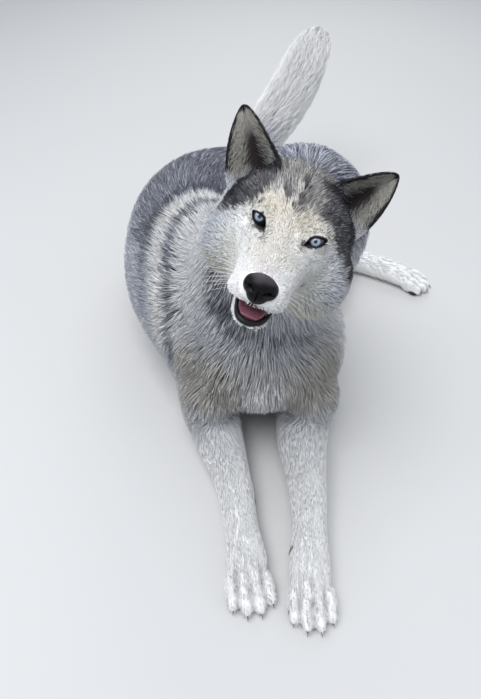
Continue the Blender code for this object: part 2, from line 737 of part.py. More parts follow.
def coat_zone(place, normal):
    """The zone of long coat that a place on the body belongs to, or None where the coat is short."""
    past_head = (HEAD.inverted() @ place - Vector(HEAD_CUT[0])).dot(Vector(HEAD_CUT[1]))
    if past_head > 0 and place.z > 0.33:
        return None
    if beyond(TAIL_CUT, place) > 0.012 and place.y > 0.4:
        return "tail"
    if beyond(NECK_CUT, place) > 0.0 and place.y < 0.2:
        return "ruff"
    if place.y < 0.02 and place.z > 0.105 and normal.y < 0.35 and abs(place.x) < 0.12:
        return "chest"
    if place.y > 0.30 and normal.y > 0.35 and place.z > 0.05 and place.x > -0.20:
        return "breech"
    return None


def scattered(obj, rng):
    """Places spread evenly over the long coat: of many random draws, those that keep their distance stay."""
    mesh = obj.data
    mesh.calc_loop_triangles()
    corners = np.array([[mesh.vertices[i].co for i in t.vertices] for t in mesh.loop_triangles])
    crossed = np.cross(corners[:, 1] - corners[:, 0], corners[:, 2] - corners[:, 0])
    areas = np.linalg.norm(crossed, axis=1)
    picks = rng.choice(len(areas), size=9000, p=areas / areas.sum())
    shares = rng.random((9000, 2))
    shares[shares.sum(axis=1) > 1] = 1 - shares[shares.sum(axis=1) > 1]
    kept = []
    for pick, (u, v) in zip(picks, shares):
        a, b, c = corners[pick]
        place = Vector(a + (b - a) * u + (c - a) * v)
        normal = Vector(crossed[pick] / areas[pick])
        zone = coat_zone(place, normal)
        if zone is None:
            continue
        apart = COAT[zone][0]
        if all((place - other).length > apart for other, _ in kept):
            kept.append((place, zone))
    return kept


def lock(tree, root, zone, rng, collection):
    """A flat, tapered lock that leaves the skin at its root, follows its curve and lifts towards the tip."""
    _, length, width, thickness, lift = COAT[zone]
    length *= rng.uniform(0.85, 1.15)
    width *= rng.uniform(0.88, 1.12)
    lift *= rng.uniform(0.75, 1.25)
    swerve = rng.normal(0.0, 0.17)
    place = root
    rings = []
    for share, wide, thick, height in LOCK_STATIONS:
        hit, normal, _, _ = tree.find_nearest(place)
        heading = FLOWS[zone](hit)
        heading = (heading - normal * heading.dot(normal)).normalized()
        side = normal.cross(heading)
        heading = (heading * math.cos(swerve) + side * math.sin(swerve)).normalized()
        side = normal.cross(heading)
        centre = hit + normal * (height * lift - (ROOT_DEPTH if share == 0 else 0.0))
        half = wide * width / 2
        deep = thick * thickness / 2
        across, above = side * half, normal * deep
        rings.append([centre - across, centre - above, centre + across, centre + above])
        place = hit + heading * length / (len(LOCK_STATIONS) - 1)
    return skin_spike("lock", rings[:-1], rings[-1][0], collection)


def grow_coat(obj):
    """Fuses the locks of the long coat to a body."""
    rng = np.random.default_rng(SEED)
    tree = BVHTree.FromObject(obj, bpy.context.evaluated_depsgraph_get())
    locks = bpy.data.collections.new("locks")
    bpy.context.scene.collection.children.link(locks)
    for place, zone in scattered(obj, rng):
        lock(tree, place, zone, rng, locks)
    add_all(obj, locks)


def add_all(obj, pieces):
    """Joins every solid of a collection to the body in one union, and removes them."""
    change = obj.modifiers.new("union", "BOOLEAN")
    change.operation = "UNION"
    change.solver = "MANIFOLD"
    change.operand_type = "COLLECTION"
    change.collection = pieces
    settle(obj)
    for piece in list(pieces.objects):
        remove(piece)
    bpy.data.collections.remove(pieces)


def claw(root, direction, collection):
    """A curved, tapering claw with its root sunk in the toe."""
    direction = Vector(direction).normalized()
    side = direction.cross(Vector((0, 0, 1))).normalized()
    above = side.cross(direction)
    rings = []
    for share, narrow, drop in ((-0.45, 1.0, 0.0), (0.15, 1.0, 0.02), (0.6, 0.62, 0.12), (1.0, 0.14, 0.34)):
        centre = Vector(root) + direction * share * CLAW_LENGTH - above * drop * CLAW_LENGTH
        turn = np.arange(6) / 6 * 2 * math.pi
        rings.append([centre + side * (math.cos(t) * CLAW_RADIUS * narrow)
                      + above * (math.sin(t) * CLAW_RADIUS * 1.25 * narrow) for t in turn])
    return skin_rings("claw", rings, collection)


def grow_claws(obj):
    """Fuses a claw to each toe, and the two dewclaws to the wrists."""
    claws = bpy.data.collections.new("claws")
    bpy.context.scene.collection.children.link(claws)
    for knuckles, tip, breadth in PAWS.values():
        knuckles, tip = Vector(knuckles), Vector(tip)
        along = (tip - knuckles) * Vector((1, 1, 0))
        reach = along.length
        along.normalize()
        across = Vector((0, 0, 1)).cross(along)
        for side, length in TOES:
            ahead = (along + across * side * 0.55).normalized()
            root = knuckles + along * length * reach * 0.94 + across * side * breadth * 1.06
            root.z = 0.0165
            claw(root, ahead + Vector((0, 0, -0.35)), claws)
    for root, direction in DEWCLAWS.values():
        claw(root, direction, claws)
    add_all(obj, claws)


def head_cut(collection):
    """The region in front of the cut through the nape, which parts off the head."""
    point, direction = HEAD_CUT
    start = head_point(*point)
    toward = (head_point(*(Vector(point) + Vector(direction))) - start).normalized()
    return half_space("head_region", start, toward, 0.22, 0.40, collection)


def leg_region(kind, side, collection):
    """A sleeve a little wider than the leg, which parts it from the body."""
    masses = leg_masses(kind, side, collection, SLEEVE)
    if kind == "fore":
        remove(masses.pop(0))
    sleeve = fuse("sleeve", masses, collection, 0.006, 14)
    region = thinned(f"{kind}leg_{side}_region", sleeve, 400, collection)
    remove(sleeve)
    return region


def shape_head(head, collection):
    """Lids, nose, mouth, jaw, tongue, eyes and ears on the parted head."""
    add_lids(head, collection)
    nose = make_nose(collection)
    cut_clear(head, nose, collection)
    jaw = sections("lower_jaw", JAW_SECTIONS, collection, sides=14, per_span=1)
    tongue = sections("tongue", TONGUE_SECTIONS, collection, sides=12, per_span=2, square=2.6)
    boolean(head, "DIFFERENCE", sections("mouth", MOUTH_SECTIONS, collection, sides=16, per_span=2))
    other_half = [(-x, *row) for x, *row in LOWER_LIP[-2::-1]]
    lips = limb("lips", spline(from_head(LOWER_LIP + other_half), 2), collection, 6, 1, per_span=1)
    for neighbour in (head, jaw, tongue):
        cut_clear(neighbour, lips, collection)
    cut_clear(head, tongue, collection)
    cut_clear(head, jaw, collection)
    cut_clear(jaw, tongue, collection)
    largest_body(head)
    for name, side in SIDES:
        eyeball("eye_" + name, side, collection)
        ear = ear_shell("ear_" + name, name, side, collection)
        cut_clear(ear, head, collection)


def linear(channel):
    """One sRGB channel from 0 to 1 as linear light."""
    return channel / 12.92 if channel <= 0.04045 else ((channel + 0.055) / 1.055) ** 2.4


def paint(obj, finish, colour, roughness):
    """Gives a node its own material, from a hex colour."""
    material = bpy.data.materials.new(f"{obj.name}_{finish}")
    material.use_nodes = True
    shader = material.node_tree.nodes["Principled BSDF"]
    channels = [linear(int(colour[i:i + 2], 16) / 255) for i in (0, 2, 4)]
    shader.inputs["Base Color"].default_value = (*channels, 1.0)
    shader.inputs["Roughness"].default_value = roughness
    obj.data.materials.clear()
    obj.data.materials.append(material)


def main():
    """Builds the whole dog, parts it into its nodes and gives each its finish."""
    for obj in list(bpy.data.objects):
        bpy.data.objects.remove(obj)
    husky = bpy.data.collections.new("siberian_husky")
    bpy.context.scene.collection.children.link(husky)
    whole = whole_body(husky)
    fine = thinned("fine", whole, FINE_TRIANGLES, husky)
    medium = thinned("medium", whole, MEDIUM_TRIANGLES, husky)
    torso = thinned("torso", whole, COARSE_TRIANGLES, husky)
    remove(whole)
    grow_coat(torso)
    grow_claws(medium)
    bodies = (fine, medium, torso)
    for body in bodies:
        cut_floor(body, husky)
    head = part_off("head", fine, bodies, head_cut(husky), husky)
    part_off("neck", torso, bodies, half_space("neck_region", *NECK_CUT, 0.25, 0.40, husky), husky)
    part_off("tail", torso, bodies, half_space("tail_region", *TAIL_CUT, 0.12, 0.50, husky), husky)
    for side, _ in SIDES:
        for kind in ("hind", "fore"):
            part_off(f"{kind}leg_{side}", medium, bodies, leg_region(kind, side, husky), husky)
    part_off("hips", torso, bodies, half_space("hip_region", *HIP_CUT, 0.30, 0.50, husky), husky)
    largest_body(torso)
    remove(fine)
    remove(medium)
    shape_head(head, husky)
    for obj in husky.objects:
        paint(obj, *FINISHES[obj.name])


main()
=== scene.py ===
# %% [markdown]
# # A Siberian husky, life size
#
# The dog lies on its chest with its forelegs stretched out, its hips rolled on to the right side and its
# head raised. The solids come packed in metres, with +Z up, the dog looking along -Y and its left side
# towards +X. Here it gets what the eye meets first: one smooth skin, real eyes, lids, lips and nose, and
# a coat of many thousand tapered tufts that lie the way the hair of a husky lies.

# %% Load the solids
import math

import bpy
import numpy as np
from mathutils import Matrix, Vector


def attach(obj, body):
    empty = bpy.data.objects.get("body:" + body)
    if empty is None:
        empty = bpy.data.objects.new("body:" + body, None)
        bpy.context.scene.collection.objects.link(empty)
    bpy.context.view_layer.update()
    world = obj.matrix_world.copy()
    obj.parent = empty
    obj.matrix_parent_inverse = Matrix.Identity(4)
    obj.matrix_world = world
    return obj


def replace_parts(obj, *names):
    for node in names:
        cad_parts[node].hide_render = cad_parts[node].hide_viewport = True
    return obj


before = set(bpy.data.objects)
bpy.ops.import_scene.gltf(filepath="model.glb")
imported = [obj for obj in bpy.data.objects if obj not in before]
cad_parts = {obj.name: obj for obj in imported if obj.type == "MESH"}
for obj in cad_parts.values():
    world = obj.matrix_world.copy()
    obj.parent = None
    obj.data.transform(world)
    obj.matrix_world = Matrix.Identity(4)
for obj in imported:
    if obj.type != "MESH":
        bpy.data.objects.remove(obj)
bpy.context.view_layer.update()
print("solids:", ", ".join(sorted(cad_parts)))

# %% [markdown]
# ## The head's own frame
#
# The head is turned, lifted and tilted, so it is easiest to shape in a frame of its own. Its origin is
# between the eyes, x runs to the dog's left, y backwards and z up, in centimetres. One matrix carries
# head coordinates into the dog's frame, and its inverse brings places on the dog back to the head.

# %% The head's frame
CM = 0.01
EYE_MIDDLE = Vector((0.0172, -0.1664, 0.4778))
HEAD_LIFT = math.radians(-24.1)
HEAD_ROLL = math.radians(17.6)
HEAD_TURN = math.radians(-18.3)

turned = (Matrix.Rotation(HEAD_TURN, 4, "Z") @ Matrix.Rotation(HEAD_ROLL, 4, "Y")
          @ Matrix.Rotation(HEAD_LIFT, 4, "X"))
HEAD = Matrix.Translation(EYE_MIDDLE) @ turned @ Matrix.Scale(CM, 4)


def moved(points, matrix):
    """Each point times the matrix's turn and scale, plus its shift."""
    matrix = np.array(matrix)
    return np.asarray(points, float) @ matrix[:3, :3].T + matrix[:3, 3]


def in_head(points):
    """Places in the dog's frame as head coordinates, in centimetres."""
    return moved(points, HEAD.inverted())


print("nose tip in the dog's frame:", moved([(0.0, -11.2, -3.2)], HEAD).round(3))

# %% [markdown]
# ## The body's masses
#
# Under the coat a dog is a set of rounded masses laid along its bones. Each row gives a place on the
# axis and the half width and half height of the body there, as in the solids. A few more rows shape the
# skull from nose to nape, with the height of its widest line and its reach above and below that line.

# %% Sizes of trunk, neck and tail
TORSO = [
    (0.000, -0.060, 0.158, 0.116, 0.090),
    (0.000, -0.042, 0.153, 0.136, 0.128),
    (-0.002, -0.014, 0.150, 0.147, 0.158),
    (-0.018, 0.030, 0.149, 0.151, 0.157),
    (-0.062, 0.092, 0.145, 0.149, 0.152),
    (-0.109, 0.165, 0.140, 0.138, 0.144),
    (-0.136, 0.250, 0.136, 0.123, 0.133),
    (-0.142, 0.335, 0.136, 0.112, 0.124),
    (-0.120, 0.415, 0.140, 0.098, 0.108),
    (-0.074, 0.478, 0.150, 0.076, 0.086),
    (-0.030, 0.520, 0.165, 0.046, 0.054),
]
WITHERS = [
    (0.002, 0.044, 0.290, 0.082, 0.064),
    (-0.030, 0.102, 0.253, 0.080, 0.060),
    (-0.078, 0.172, 0.222, 0.072, 0.052),
]
# Where the chest's long hair comes down on to the forelegs
CHEST_FEET = [((-0.082, -0.098, 0.112), (0.050, 0.052, 0.050)),
              ((0.086, -0.094, 0.108), (0.048, 0.052, 0.048))]
TAIL = [
    (-0.034, 0.505, 0.172, 0.036, 0.036),
    (0.004, 0.552, 0.200, 0.035, 0.035),
    (0.050, 0.600, 0.243, 0.037, 0.037),
    (0.090, 0.644, 0.288, 0.037, 0.037),
    (0.120, 0.688, 0.332, 0.032, 0.032),
    (0.140, 0.718, 0.357, 0.021, 0.021),
]
NECK_IN_HEAD = [
    (0.4, 7.5, -2.2, 6.2, 6.2),
    (0.7, 11.0, -2.2, 7.7, 8.4),
    (1.2, 14.2, -1.9, 8.8, 9.7),
]
NECK_BASE = [(0.022, 0.000, 0.350, 0.090, 0.094), (0.004, 0.006, 0.290, 0.103, 0.108),
             (-0.004, 0.000, 0.215, 0.110, 0.116), (-0.004, -0.012, 0.160, 0.108, 0.112)]
NECK = [(*moved(row[:3], HEAD), row[3] * CM, row[4] * CM) for row in NECK_IN_HEAD] + NECK_BASE

# %% Sizes of the legs and paws
LEGS = {
    "arm_right": [(-0.082, -0.052, 0.168, 0.052, 0.056), (-0.104, -0.015, 0.112, 0.054, 0.060),
                  (-0.112, 0.022, 0.058, 0.046, 0.054)],
    "forearm_right": [(-0.112, 0.035, 0.048, 0.042, 0.050), (-0.092, -0.050, 0.048, 0.048, 0.052),
                      (-0.068, -0.125, 0.043, 0.043, 0.047), (-0.046, -0.195, 0.034, 0.031, 0.037),
                      (-0.038, -0.228, 0.032, 0.029, 0.035), (-0.029, -0.280, 0.028, 0.026, 0.030),
                      (-0.022, -0.325, 0.025, 0.030, 0.027), (-0.020, -0.352, 0.021, 0.030, 0.022)],
    "arm_left": [(0.078, -0.052, 0.168, 0.052, 0.056), (0.094, -0.015, 0.112, 0.053, 0.060),
                 (0.098, 0.022, 0.058, 0.045, 0.054)],
    "forearm_left": [(0.098, 0.035, 0.048, 0.042, 0.050), (0.086, -0.050, 0.048, 0.048, 0.052),
                     (0.072, -0.125, 0.043, 0.045, 0.047), (0.074, -0.195, 0.035, 0.033, 0.038),
                     (0.075, -0.228, 0.033, 0.030, 0.036), (0.073, -0.285, 0.028, 0.0265, 0.030),
                     (0.069, -0.340, 0.025, 0.030, 0.027), (0.068, -0.370, 0.021, 0.030, 0.022)],
    "thigh_right": [(-0.150, 0.430, 0.105, 0.078, 0.088), (-0.178, 0.355, 0.090, 0.084, 0.092),
                    (-0.140, 0.270, 0.074, 0.070, 0.078), (-0.080, 0.215, 0.056, 0.048, 0.058)],
    "shank_right": [(-0.078, 0.215, 0.052, 0.044, 0.050), (-0.012, 0.295, 0.044, 0.037, 0.042),
                    (0.052, 0.362, 0.032, 0.028, 0.034)],
    "foot_right": [(0.055, 0.372, 0.030, 0.026, 0.032), (0.082, 0.330, 0.027, 0.0255, 0.028),
                   (0.112, 0.275, 0.025, 0.0255, 0.026), (0.130, 0.237, 0.021, 0.028, 0.022)],
    "thigh_left": [(-0.040, 0.420, 0.160, 0.076, 0.090), (0.025, 0.345, 0.142, 0.078, 0.084),
                   (0.088, 0.272, 0.118, 0.064, 0.070), (0.128, 0.225, 0.090, 0.046, 0.050)],
    "shank_left": [(0.130, 0.222, 0.088, 0.042, 0.045), (0.168, 0.292, 0.062, 0.035, 0.038),
                   (0.202, 0.352, 0.034, 0.029, 0.034)],
    "foot_left": [(0.202, 0.366, 0.032, 0.027, 0.032), (0.250, 0.343, 0.028, 0.026, 0.029),
                  (0.300, 0.318, 0.026, 0.026, 0.027), (0.335, 0.300, 0.021, 0.028, 0.022)],
}
# Each paw: where its knuckles are, where its longest toe ends, and its breadth
PAWS = {
    "forepaw_right": ((-0.021, -0.345, 0.020), (-0.010, -0.403, 0.0), 0.070),
    "forepaw_left": ((0.068, -0.362, 0.020), (0.070, -0.424, 0.0), 0.067),
    "hindpaw_right": ((0.131, 0.232, 0.019), (0.156, 0.180, 0.0), 0.058),
    "hindpaw_left": ((0.336, 0.299, 0.019), (0.386, 0.272, 0.0), 0.058),
}
# Each toe: its place across the paw and its length, as shares of the paw's breadth and reach
TOES = ((-0.37, 0.76), (-0.13, 0.98), (0.13, 1.0), (0.37, 0.79))
# How far each toe turns out for its place across the paw
FAN = 0.55
# The two masses of a toe: place along it, height, and radii as shares of reach and breadth, and in metres
TOE_MASSES = ((0.34, 0.0175, 0.36, 0.134, 0.0165), (0.76, 0.0125, 0.240, 0.138, 0.0135))

# %% Sizes of the skull, jaw and mouth, in the head's frame
HEAD_SECTIONS = [
    (-10.4, 1.60, -4.00, 1.20, 0.85),
    (-9.6, 2.25, -3.95, 1.70, 1.25),
    (-8.0, 2.70, -3.85, 2.00, 1.50),
    (-6.0, 2.90, -3.70, 2.25, 1.85),
    (-4.0, 3.10, -3.55, 2.40, 2.40),
    (-2.2, 3.45, -3.30, 2.50, 3.70),
    (-0.8, 4.00, -3.00, 2.95, 5.10),
    (0.6, 4.65, -2.85, 4.00, 6.00),
    (2.2, 5.60, -2.90, 5.75, 6.60),
    (4.2, 6.80, -3.10, 7.50, 6.90),
    (6.4, 7.80, -3.40, 8.85, 6.80),
    (8.8, 8.30, -3.50, 9.20, 6.40),
    (11.2, 8.10, -3.20, 8.60, 6.00),
    (13.6, 7.20, -2.70, 7.50, 5.20),
]
# Pairs of masses on the two sides of the head: brow and upper lip
HEAD_PAIRS = [
    ((2.9, 2.5, 1.15), (2.0, 1.7, 1.05)),
    ((1.5, -8.0, -4.30), (1.45, 2.3, 1.20)),
]
# The cheek ruffs. The right one is pressed in a little by the turn of the head
CHEEKS = [
    ((-5.0, 6.0, -4.7), (3.9, 4.8, 4.5)),
    ((5.3, 6.0, -5.1), (4.3, 4.8, 4.9)),
]
JAW_SECTIONS = [
    (-9.1, 0.95, -7.35, 0.25, 0.30),
    (-8.4, 1.45, -7.25, 0.42, 0.62),
    (-6.6, 1.80, -6.95, 0.52, 0.90),
    (-4.6, 2.15, -6.60, 0.60, 1.20),
    (-2.8, 2.45, -6.30, 0.70, 1.55),
    (-1.0, 2.60, -6.10, 0.80, 1.70),
]
MOUTH_SECTIONS = [
    (-9.1, 0.80, -5.60, 0.55, 0.9),
    (-8.0, 1.50, -5.45, 0.85, 1.1),
    (-5.5, 1.85, -5.25, 0.85, 1.0),
    (-3.0, 2.10, -5.15, 0.80, 0.9),
    (-1.2, 1.70, -5.20, 0.60, 0.7),
]
TONGUE_SECTIONS = [
    (-8.75, 0.80, -6.80, 0.14, 0.20),
    (-7.8, 1.30, -6.48, 0.26, 0.50),
    (-5.4, 1.55, -5.92, 0.30, 0.70),
    (-3.2, 1.75, -5.50, 0.28, 0.80),
    (-1.4, 1.60, -5.30, 0.22, 0.80),
]
# The lower lip from its left corner round to its right one, as x, y, z, half width and half height
LOWER_LIP = [
    (2.40, -2.6, -5.60, 0.12, 0.12),
    (2.25, -4.6, -6.02, 0.14, 0.14),
    (2.00, -6.4, -6.42, 0.17, 0.17),
    (1.72, -7.7, -6.77, 0.24, 0.24),
    (1.10, -8.75, -7.05, 0.30, 0.29),
    (0.20, -9.25, -7.13, 0.33, 0.30),
    (-0.60, -9.10, -7.03, 0.31, 0.29),
    (-1.08, -8.40, -6.80, 0.26, 0.26),
    (-1.42, -7.2, -6.52, 0.20, 0.20),
    (-1.75, -5.4, -6.15, 0.17, 0.17),
    (-2.10, -3.2, -5.70, 0.14, 0.14),
]
NOSE_AT = (0.0, -10.0, -3.15)
NOSE_RADII = (1.68, 1.15, 1.25)
NOSTRIL_AT = (0.82, -11.0, -3.30)
NOSTRIL_TILT = math.radians(-28)
# Each ear's inner root, outer root and tip, in the head's frame
EARS = {
    "right": ((-4.1, 7.0, 5.1), (-8.6, 7.4, 0.4), (-10.4, 10.8, 8.0)),
    "left": ((3.2, 7.0, 5.6), (8.0, 7.4, 1.3), (8.9, 10.8, 8.4)),
}
EAR_DEPTH = 2.3
EAR_THICKNESS = (0.50, 0.26)
SIDES = {"right": -1, "left": 1}
# Each eye's ball, and the middle of the slit between its lids across and up the face
EYES = {"right": (-3.15, 1.15, -0.25), "left": (3.22, 1.15, -0.10)}
SLITS = {"right": (-3.00, -0.30), "left": (3.26, 0.10)}
EYE_RADIUS = 1.12
LID_RADIUS = 1.31
LID_SLIT = (2.2, 1.12)
LID_SLANT = math.radians(33)
GAZE_AT = Vector((-0.03, -0.62, 0.80))

# %% [markdown]
# ## Surfaces from arrays
#
# Every mass is a grid of points: rings along a path, and places round each ring. Working out the whole
# grid at once with numpy is short and quick, and the same few lines that join the grid's points into
# faces then serve tubes, eggs, skulls, eyes and ears alike.


# %% Smooth rows, and faces over a grid
def spline(rows, per_span=5):
    """Catmull-Rom: half of 2b + (c - a)t + (2a - 5b + 4c - d)t^2 + (3b - a - 3c + d)t^3 on each span."""
    rows = np.asarray(rows, float)
    ends = np.vstack([2 * rows[0] - rows[1], rows, 2 * rows[-1] - rows[-2]])
    a, b, c, d = (ends[i:len(rows) - 1 + i, None] for i in range(4))
    t = (np.arange(per_span) / per_span)[None, :, None]
    spans = 0.5 * (2 * b + (c - a) * t + (2 * a - 5 * b + 4 * c - d) * t**2 + (3 * b - a - 3 * c + d) * t**3)
    return np.vstack([spans.reshape(-1, rows.shape[1]), rows[-1:]])


def unit(vectors):
    """Each vector divided by its length."""
    return vectors / np.maximum(np.linalg.norm(vectors, axis=-1, keepdims=True), 1e-9)


def ring_angles(count):
    """The angles of that many places round a ring, in equal steps from 0."""
    return np.arange(count) / count * 2 * math.pi


def signed_power(values, power):
    """The power of each value's size, with the value's own sign."""
    return np.sign(values) * np.abs(values) ** power


def closed(rings):
    """Two triangles for each cell of a grid of rings, and a fan over each end round the ring's mean point."""
    count, sides = rings.shape[:2]
    i, j = np.meshgrid(np.arange(count - 1), np.arange(sides), indexing="ij")
    a = (i * sides + j).ravel()
    b = (i * sides + (j + 1) % sides).ravel()
    walls = np.vstack([np.column_stack([a, b, b + sides]), np.column_stack([a, b + sides, a + sides])])
    j = np.arange(sides)
    last = (count - 1) * sides
    pole = count * sides
    start = np.column_stack([np.full(sides, pole), (j + 1) % sides, j])
    end = np.column_stack([np.full(sides, pole + 1), last + j, last + (j + 1) % sides])
    points = np.vstack([rings.reshape(-1, 3), rings[0].mean(0), rings[-1].mean(0)])
    return facing_out(points, np.vstack([walls, start, end]))


def facing_out(points, faces):
    """Turns all faces round where the volume that they enclose comes out negative."""
    a, b, c = (points[faces[:, k]] for k in range(3))
    volume = np.einsum("ij,ij->i", a, np.cross(b, c)).sum() / 6
    return points, faces if volume > 0 else faces[:, ::-1]


def place_along(path):
    """At each point of a path: the way along it, the level way across it and the way over it."""
    along = unit(np.gradient(path, axis=0))
    across = unit(np.cross(along, (0.0, 0.0, 1.0)))
    return along, across, np.cross(across, along)


# %% Tubes, eggs and sections
def tube(rows, sides=16, caps=4, per_span=5):
    """Ellipses round a path: centre + cos(turn) half width across + sin(turn) half height over it.

    Each end is rounded by rings that shrink with the sine while they step out with the cosine.
    """
    path = spline(rows, per_span)
    centres, girths = path[:, :3], path[:, 3:5]
    along, across, over = place_along(centres)
    angle = np.arange(1, caps + 1) / (caps + 1) * math.pi / 2
    out = np.cos(angle)[:, None]
    shrink = np.sin(angle)[:, None]
    first = centres[0] - along[0] * out * girths[0].min()
    final = (centres[-1] + along[-1] * out * girths[-1].min())[::-1]
    middles = np.vstack([first, centres, final])
    sizes = np.vstack([girths[0] * shrink, girths, (girths[-1] * shrink)[::-1]])
    keep = np.concatenate([np.zeros(caps, int), np.arange(len(path)), np.full(caps, len(path) - 1)])
    turn = ring_angles(sides)
    return closed(middles[:, None]
                  + np.cos(turn)[None, :, None] * (sizes[:, :1] * across[keep])[:, None]
                  + np.sin(turn)[None, :, None] * (sizes[:, 1:] * over[keep])[:, None])


def ball(rings, sides):
    """A ball of radius 1 as (sin polar cos turn, sin polar sin turn, cos polar), with those two angles."""
    polar = np.linspace(0, math.pi, rings + 2)[1:-1, None]
    turn = ring_angles(sides)[None]
    grid = np.stack([np.sin(polar) * np.cos(turn), np.sin(polar) * np.sin(turn),
                     np.cos(polar) * np.ones_like(turn)], axis=-1)
    return grid, polar, turn


def egg(centre, radii, matrix=None, sides=20):
    """An ellipsoid: centre + radii times a ball of radius 1."""
    grid, _, _ = ball(sides // 2 + 1, sides)
    return closed(moved(grid * radii + np.asarray(centre), matrix or Matrix()))


def turned_egg(centre, radii, heading):
    """An ellipsoid at a place, turned about the upright by an angle."""
    return egg((0, 0, 0), radii, Matrix.Translation(centre) @ Matrix.Rotation(heading, 4, "Z"))


def sections(rows, matrix=HEAD, sides=24, per_span=3, square=2.3):
    """Upright sections along y: x = width c, z = middle + reach s, with c and s the 2/square powers of
    the cosine and the sine, and reach the upper one where s is positive and else the lower one."""
    y, width, middle, up, down = spline(rows, per_span).T[:, :, None]
    turn = ring_angles(sides)
    c, s = signed_power(np.cos(turn), 2 / square), signed_power(np.sin(turn), 2 / square)
    grid = np.stack([width * c, y + 0 * c, middle + s * np.where(s > 0, up, down)], axis=-1)
    return closed(moved(grid, matrix))


def together(masses):
    """Several (points, faces) as one, each one's faces counted on from the points before it."""
    starts = np.cumsum([0] + [len(points) for points, _ in masses[:-1]])
    points = np.vstack([points for points, _ in masses])
    return points, np.vstack([faces + start for (_, faces), start in zip(masses, starts)])


# %% Meshes from arrays, and back
def new_mesh(name, points, faces):
    """A mesh object at the origin from points and triangles, smooth shaded."""
    mesh = bpy.data.meshes.new(name)
    mesh.vertices.add(len(points))
    mesh.vertices.foreach_set("co", np.asarray(points, np.float32).ravel())
    mesh.loops.add(faces.size)
    mesh.loops.foreach_set("vertex_index", faces.astype(np.int32).ravel())
    mesh.polygons.add(len(faces))
    mesh.polygons.foreach_set("loop_start", np.arange(0, faces.size, 3, dtype=np.int32))
    mesh.polygons.foreach_set("use_smooth", np.ones(len(faces), bool))
    mesh.update(calc_edges=True)
    obj = bpy.data.objects.new(name, mesh)
    bpy.context.scene.collection.objects.link(obj)
    return obj


def read(items, key, width=3, kind=np.float32):
    """One property of a mesh's items as an array, with a row of that many numbers for each item."""
    values = np.empty(len(items) * width, kind)
    items.foreach_get(key, values)
    return values.reshape(-1, width)


def arrays(obj):
    """The points and triangles of an object's mesh."""
    obj.data.calc_loop_triangles()
    triangles = read(obj.data.loop_triangles, "vertices", kind=np.int32)
    return read(obj.data.vertices, "co").astype(float), triangles


def applied(obj):
    """Bakes the object's modifiers into its mesh."""
    bpy.context.view_layer.update()
    graph = bpy.context.evaluated_depsgraph_get()
    mesh = bpy.data.meshes.new_from_object(obj.evaluated_get(graph))
    old = obj.data
    obj.modifiers.clear()
    obj.data = mesh
    bpy.data.meshes.remove(old)
    return obj


def fused(name, masses, voxel, softening):
    """Melts overlapping closed masses into one skin: a voxel remesh, then rounds of smoothing."""
    obj = new_mesh(name, *together(masses))
    remesh = obj.modifiers.new("fuse", "REMESH")
    remesh.mode = "VOXEL"
    remesh.voxel_size = voxel
    smooth = obj.modifiers.new("soften", "SMOOTH")
    smooth.iterations = softening
    return applied(obj)


def combined(obj, operation, masses):
    """Joins or cuts an object with closed masses, one Boolean each, by the solver for closed meshes."""
    for points, faces in masses:
        other = new_mesh("tool", points, faces)
        change = obj.modifiers.new(operation.lower(), "BOOLEAN")
        change.operation = operation
        change.solver = "MANIFOLD"
        change.object = other
        applied(obj)
        bpy.data.objects.remove(other)
    return obj


# %% [markdown]
# ## One skin from many masses
#
# A dog's skin has no seams. So the masses are melted together: trunk, neck and upper limbs first, with
# the most smoothing, then legs, paws and tail. The head is melted on its own at a finer grain, because
# lids and lips need it, and then joined on. Mouth, lids and eye sockets are cut with Booleans.


# %% Paws
def paw_axes(name):
    """A paw's knuckles, the level ways along and across it, its reach and its breadth."""
    knuckles, tip, breadth = (np.array(value) for value in PAWS[name])
    along = (tip - knuckles) * (1, 1, 0)
    reach = np.linalg.norm(along)
    along = along / reach
    return knuckles, along, np.cross((0, 0, 1), along), reach, breadth


def paw(name):
    """The pad, the web and the two eggs of each of the four toes, spread like a fan along the paw."""
    knuckles, along, across, reach, breadth = paw_axes(name)
    web = (knuckles + along * 0.55 * reach) * (1, 1, 0) + (0, 0, 0.010)
    made = [egg(knuckles + along * 0.10 * reach - (0, 0, 0.004), (breadth * 0.44, reach * 0.42, 0.0170)),
            egg(web, (breadth * 0.36, reach * 0.30, 0.0090))]
    for side, length in TOES:
        heading = math.atan2(along[1], along[0]) + side * FAN
        for share, high, long, wide, tall in TOE_MASSES:
            centre = knuckles + along * length * share * reach + across * side * breadth
            centre[2] = high
            made.append(turned_egg(centre, (reach * long, breadth * wide, tall), heading))
    return made


# %% The body's skin
# The grain of each remesh in metres
TRUNK_GRAIN, LIMB_GRAIN, FINE_GRAIN, NOSE_GRAIN = 0.0066, 0.0052, 0.0023, 0.0007

upper = [tube(TORSO, 24), tube(NECK)]
upper += [egg((x, y, z), (w, w * 1.25, h)) for x, y, z, w, h in WITHERS]
upper += [tube(rows, 14) for name, rows in LEGS.items() if name.startswith(("arm_", "thigh_"))]
upper += [egg(centre, radii) for centre, radii in CHEST_FEET]
trunk = fused("trunk", upper, TRUNK_GRAIN, 24)
limbs = [tube(TAIL, 12)] + [tube(rows, 14) for rows in LEGS.values()]
body = fused("body", [arrays(trunk)] + limbs, LIMB_GRAIN, 4)
bpy.data.objects.remove(trunk)
for paw_name in PAWS:
    toes = fused(paw_name, paw(paw_name), FINE_GRAIN, 4)
    combined(body, "UNION", [arrays(toes)])
    bpy.data.objects.remove(toes)
print("body skin:", len(body.data.polygons), "faces")


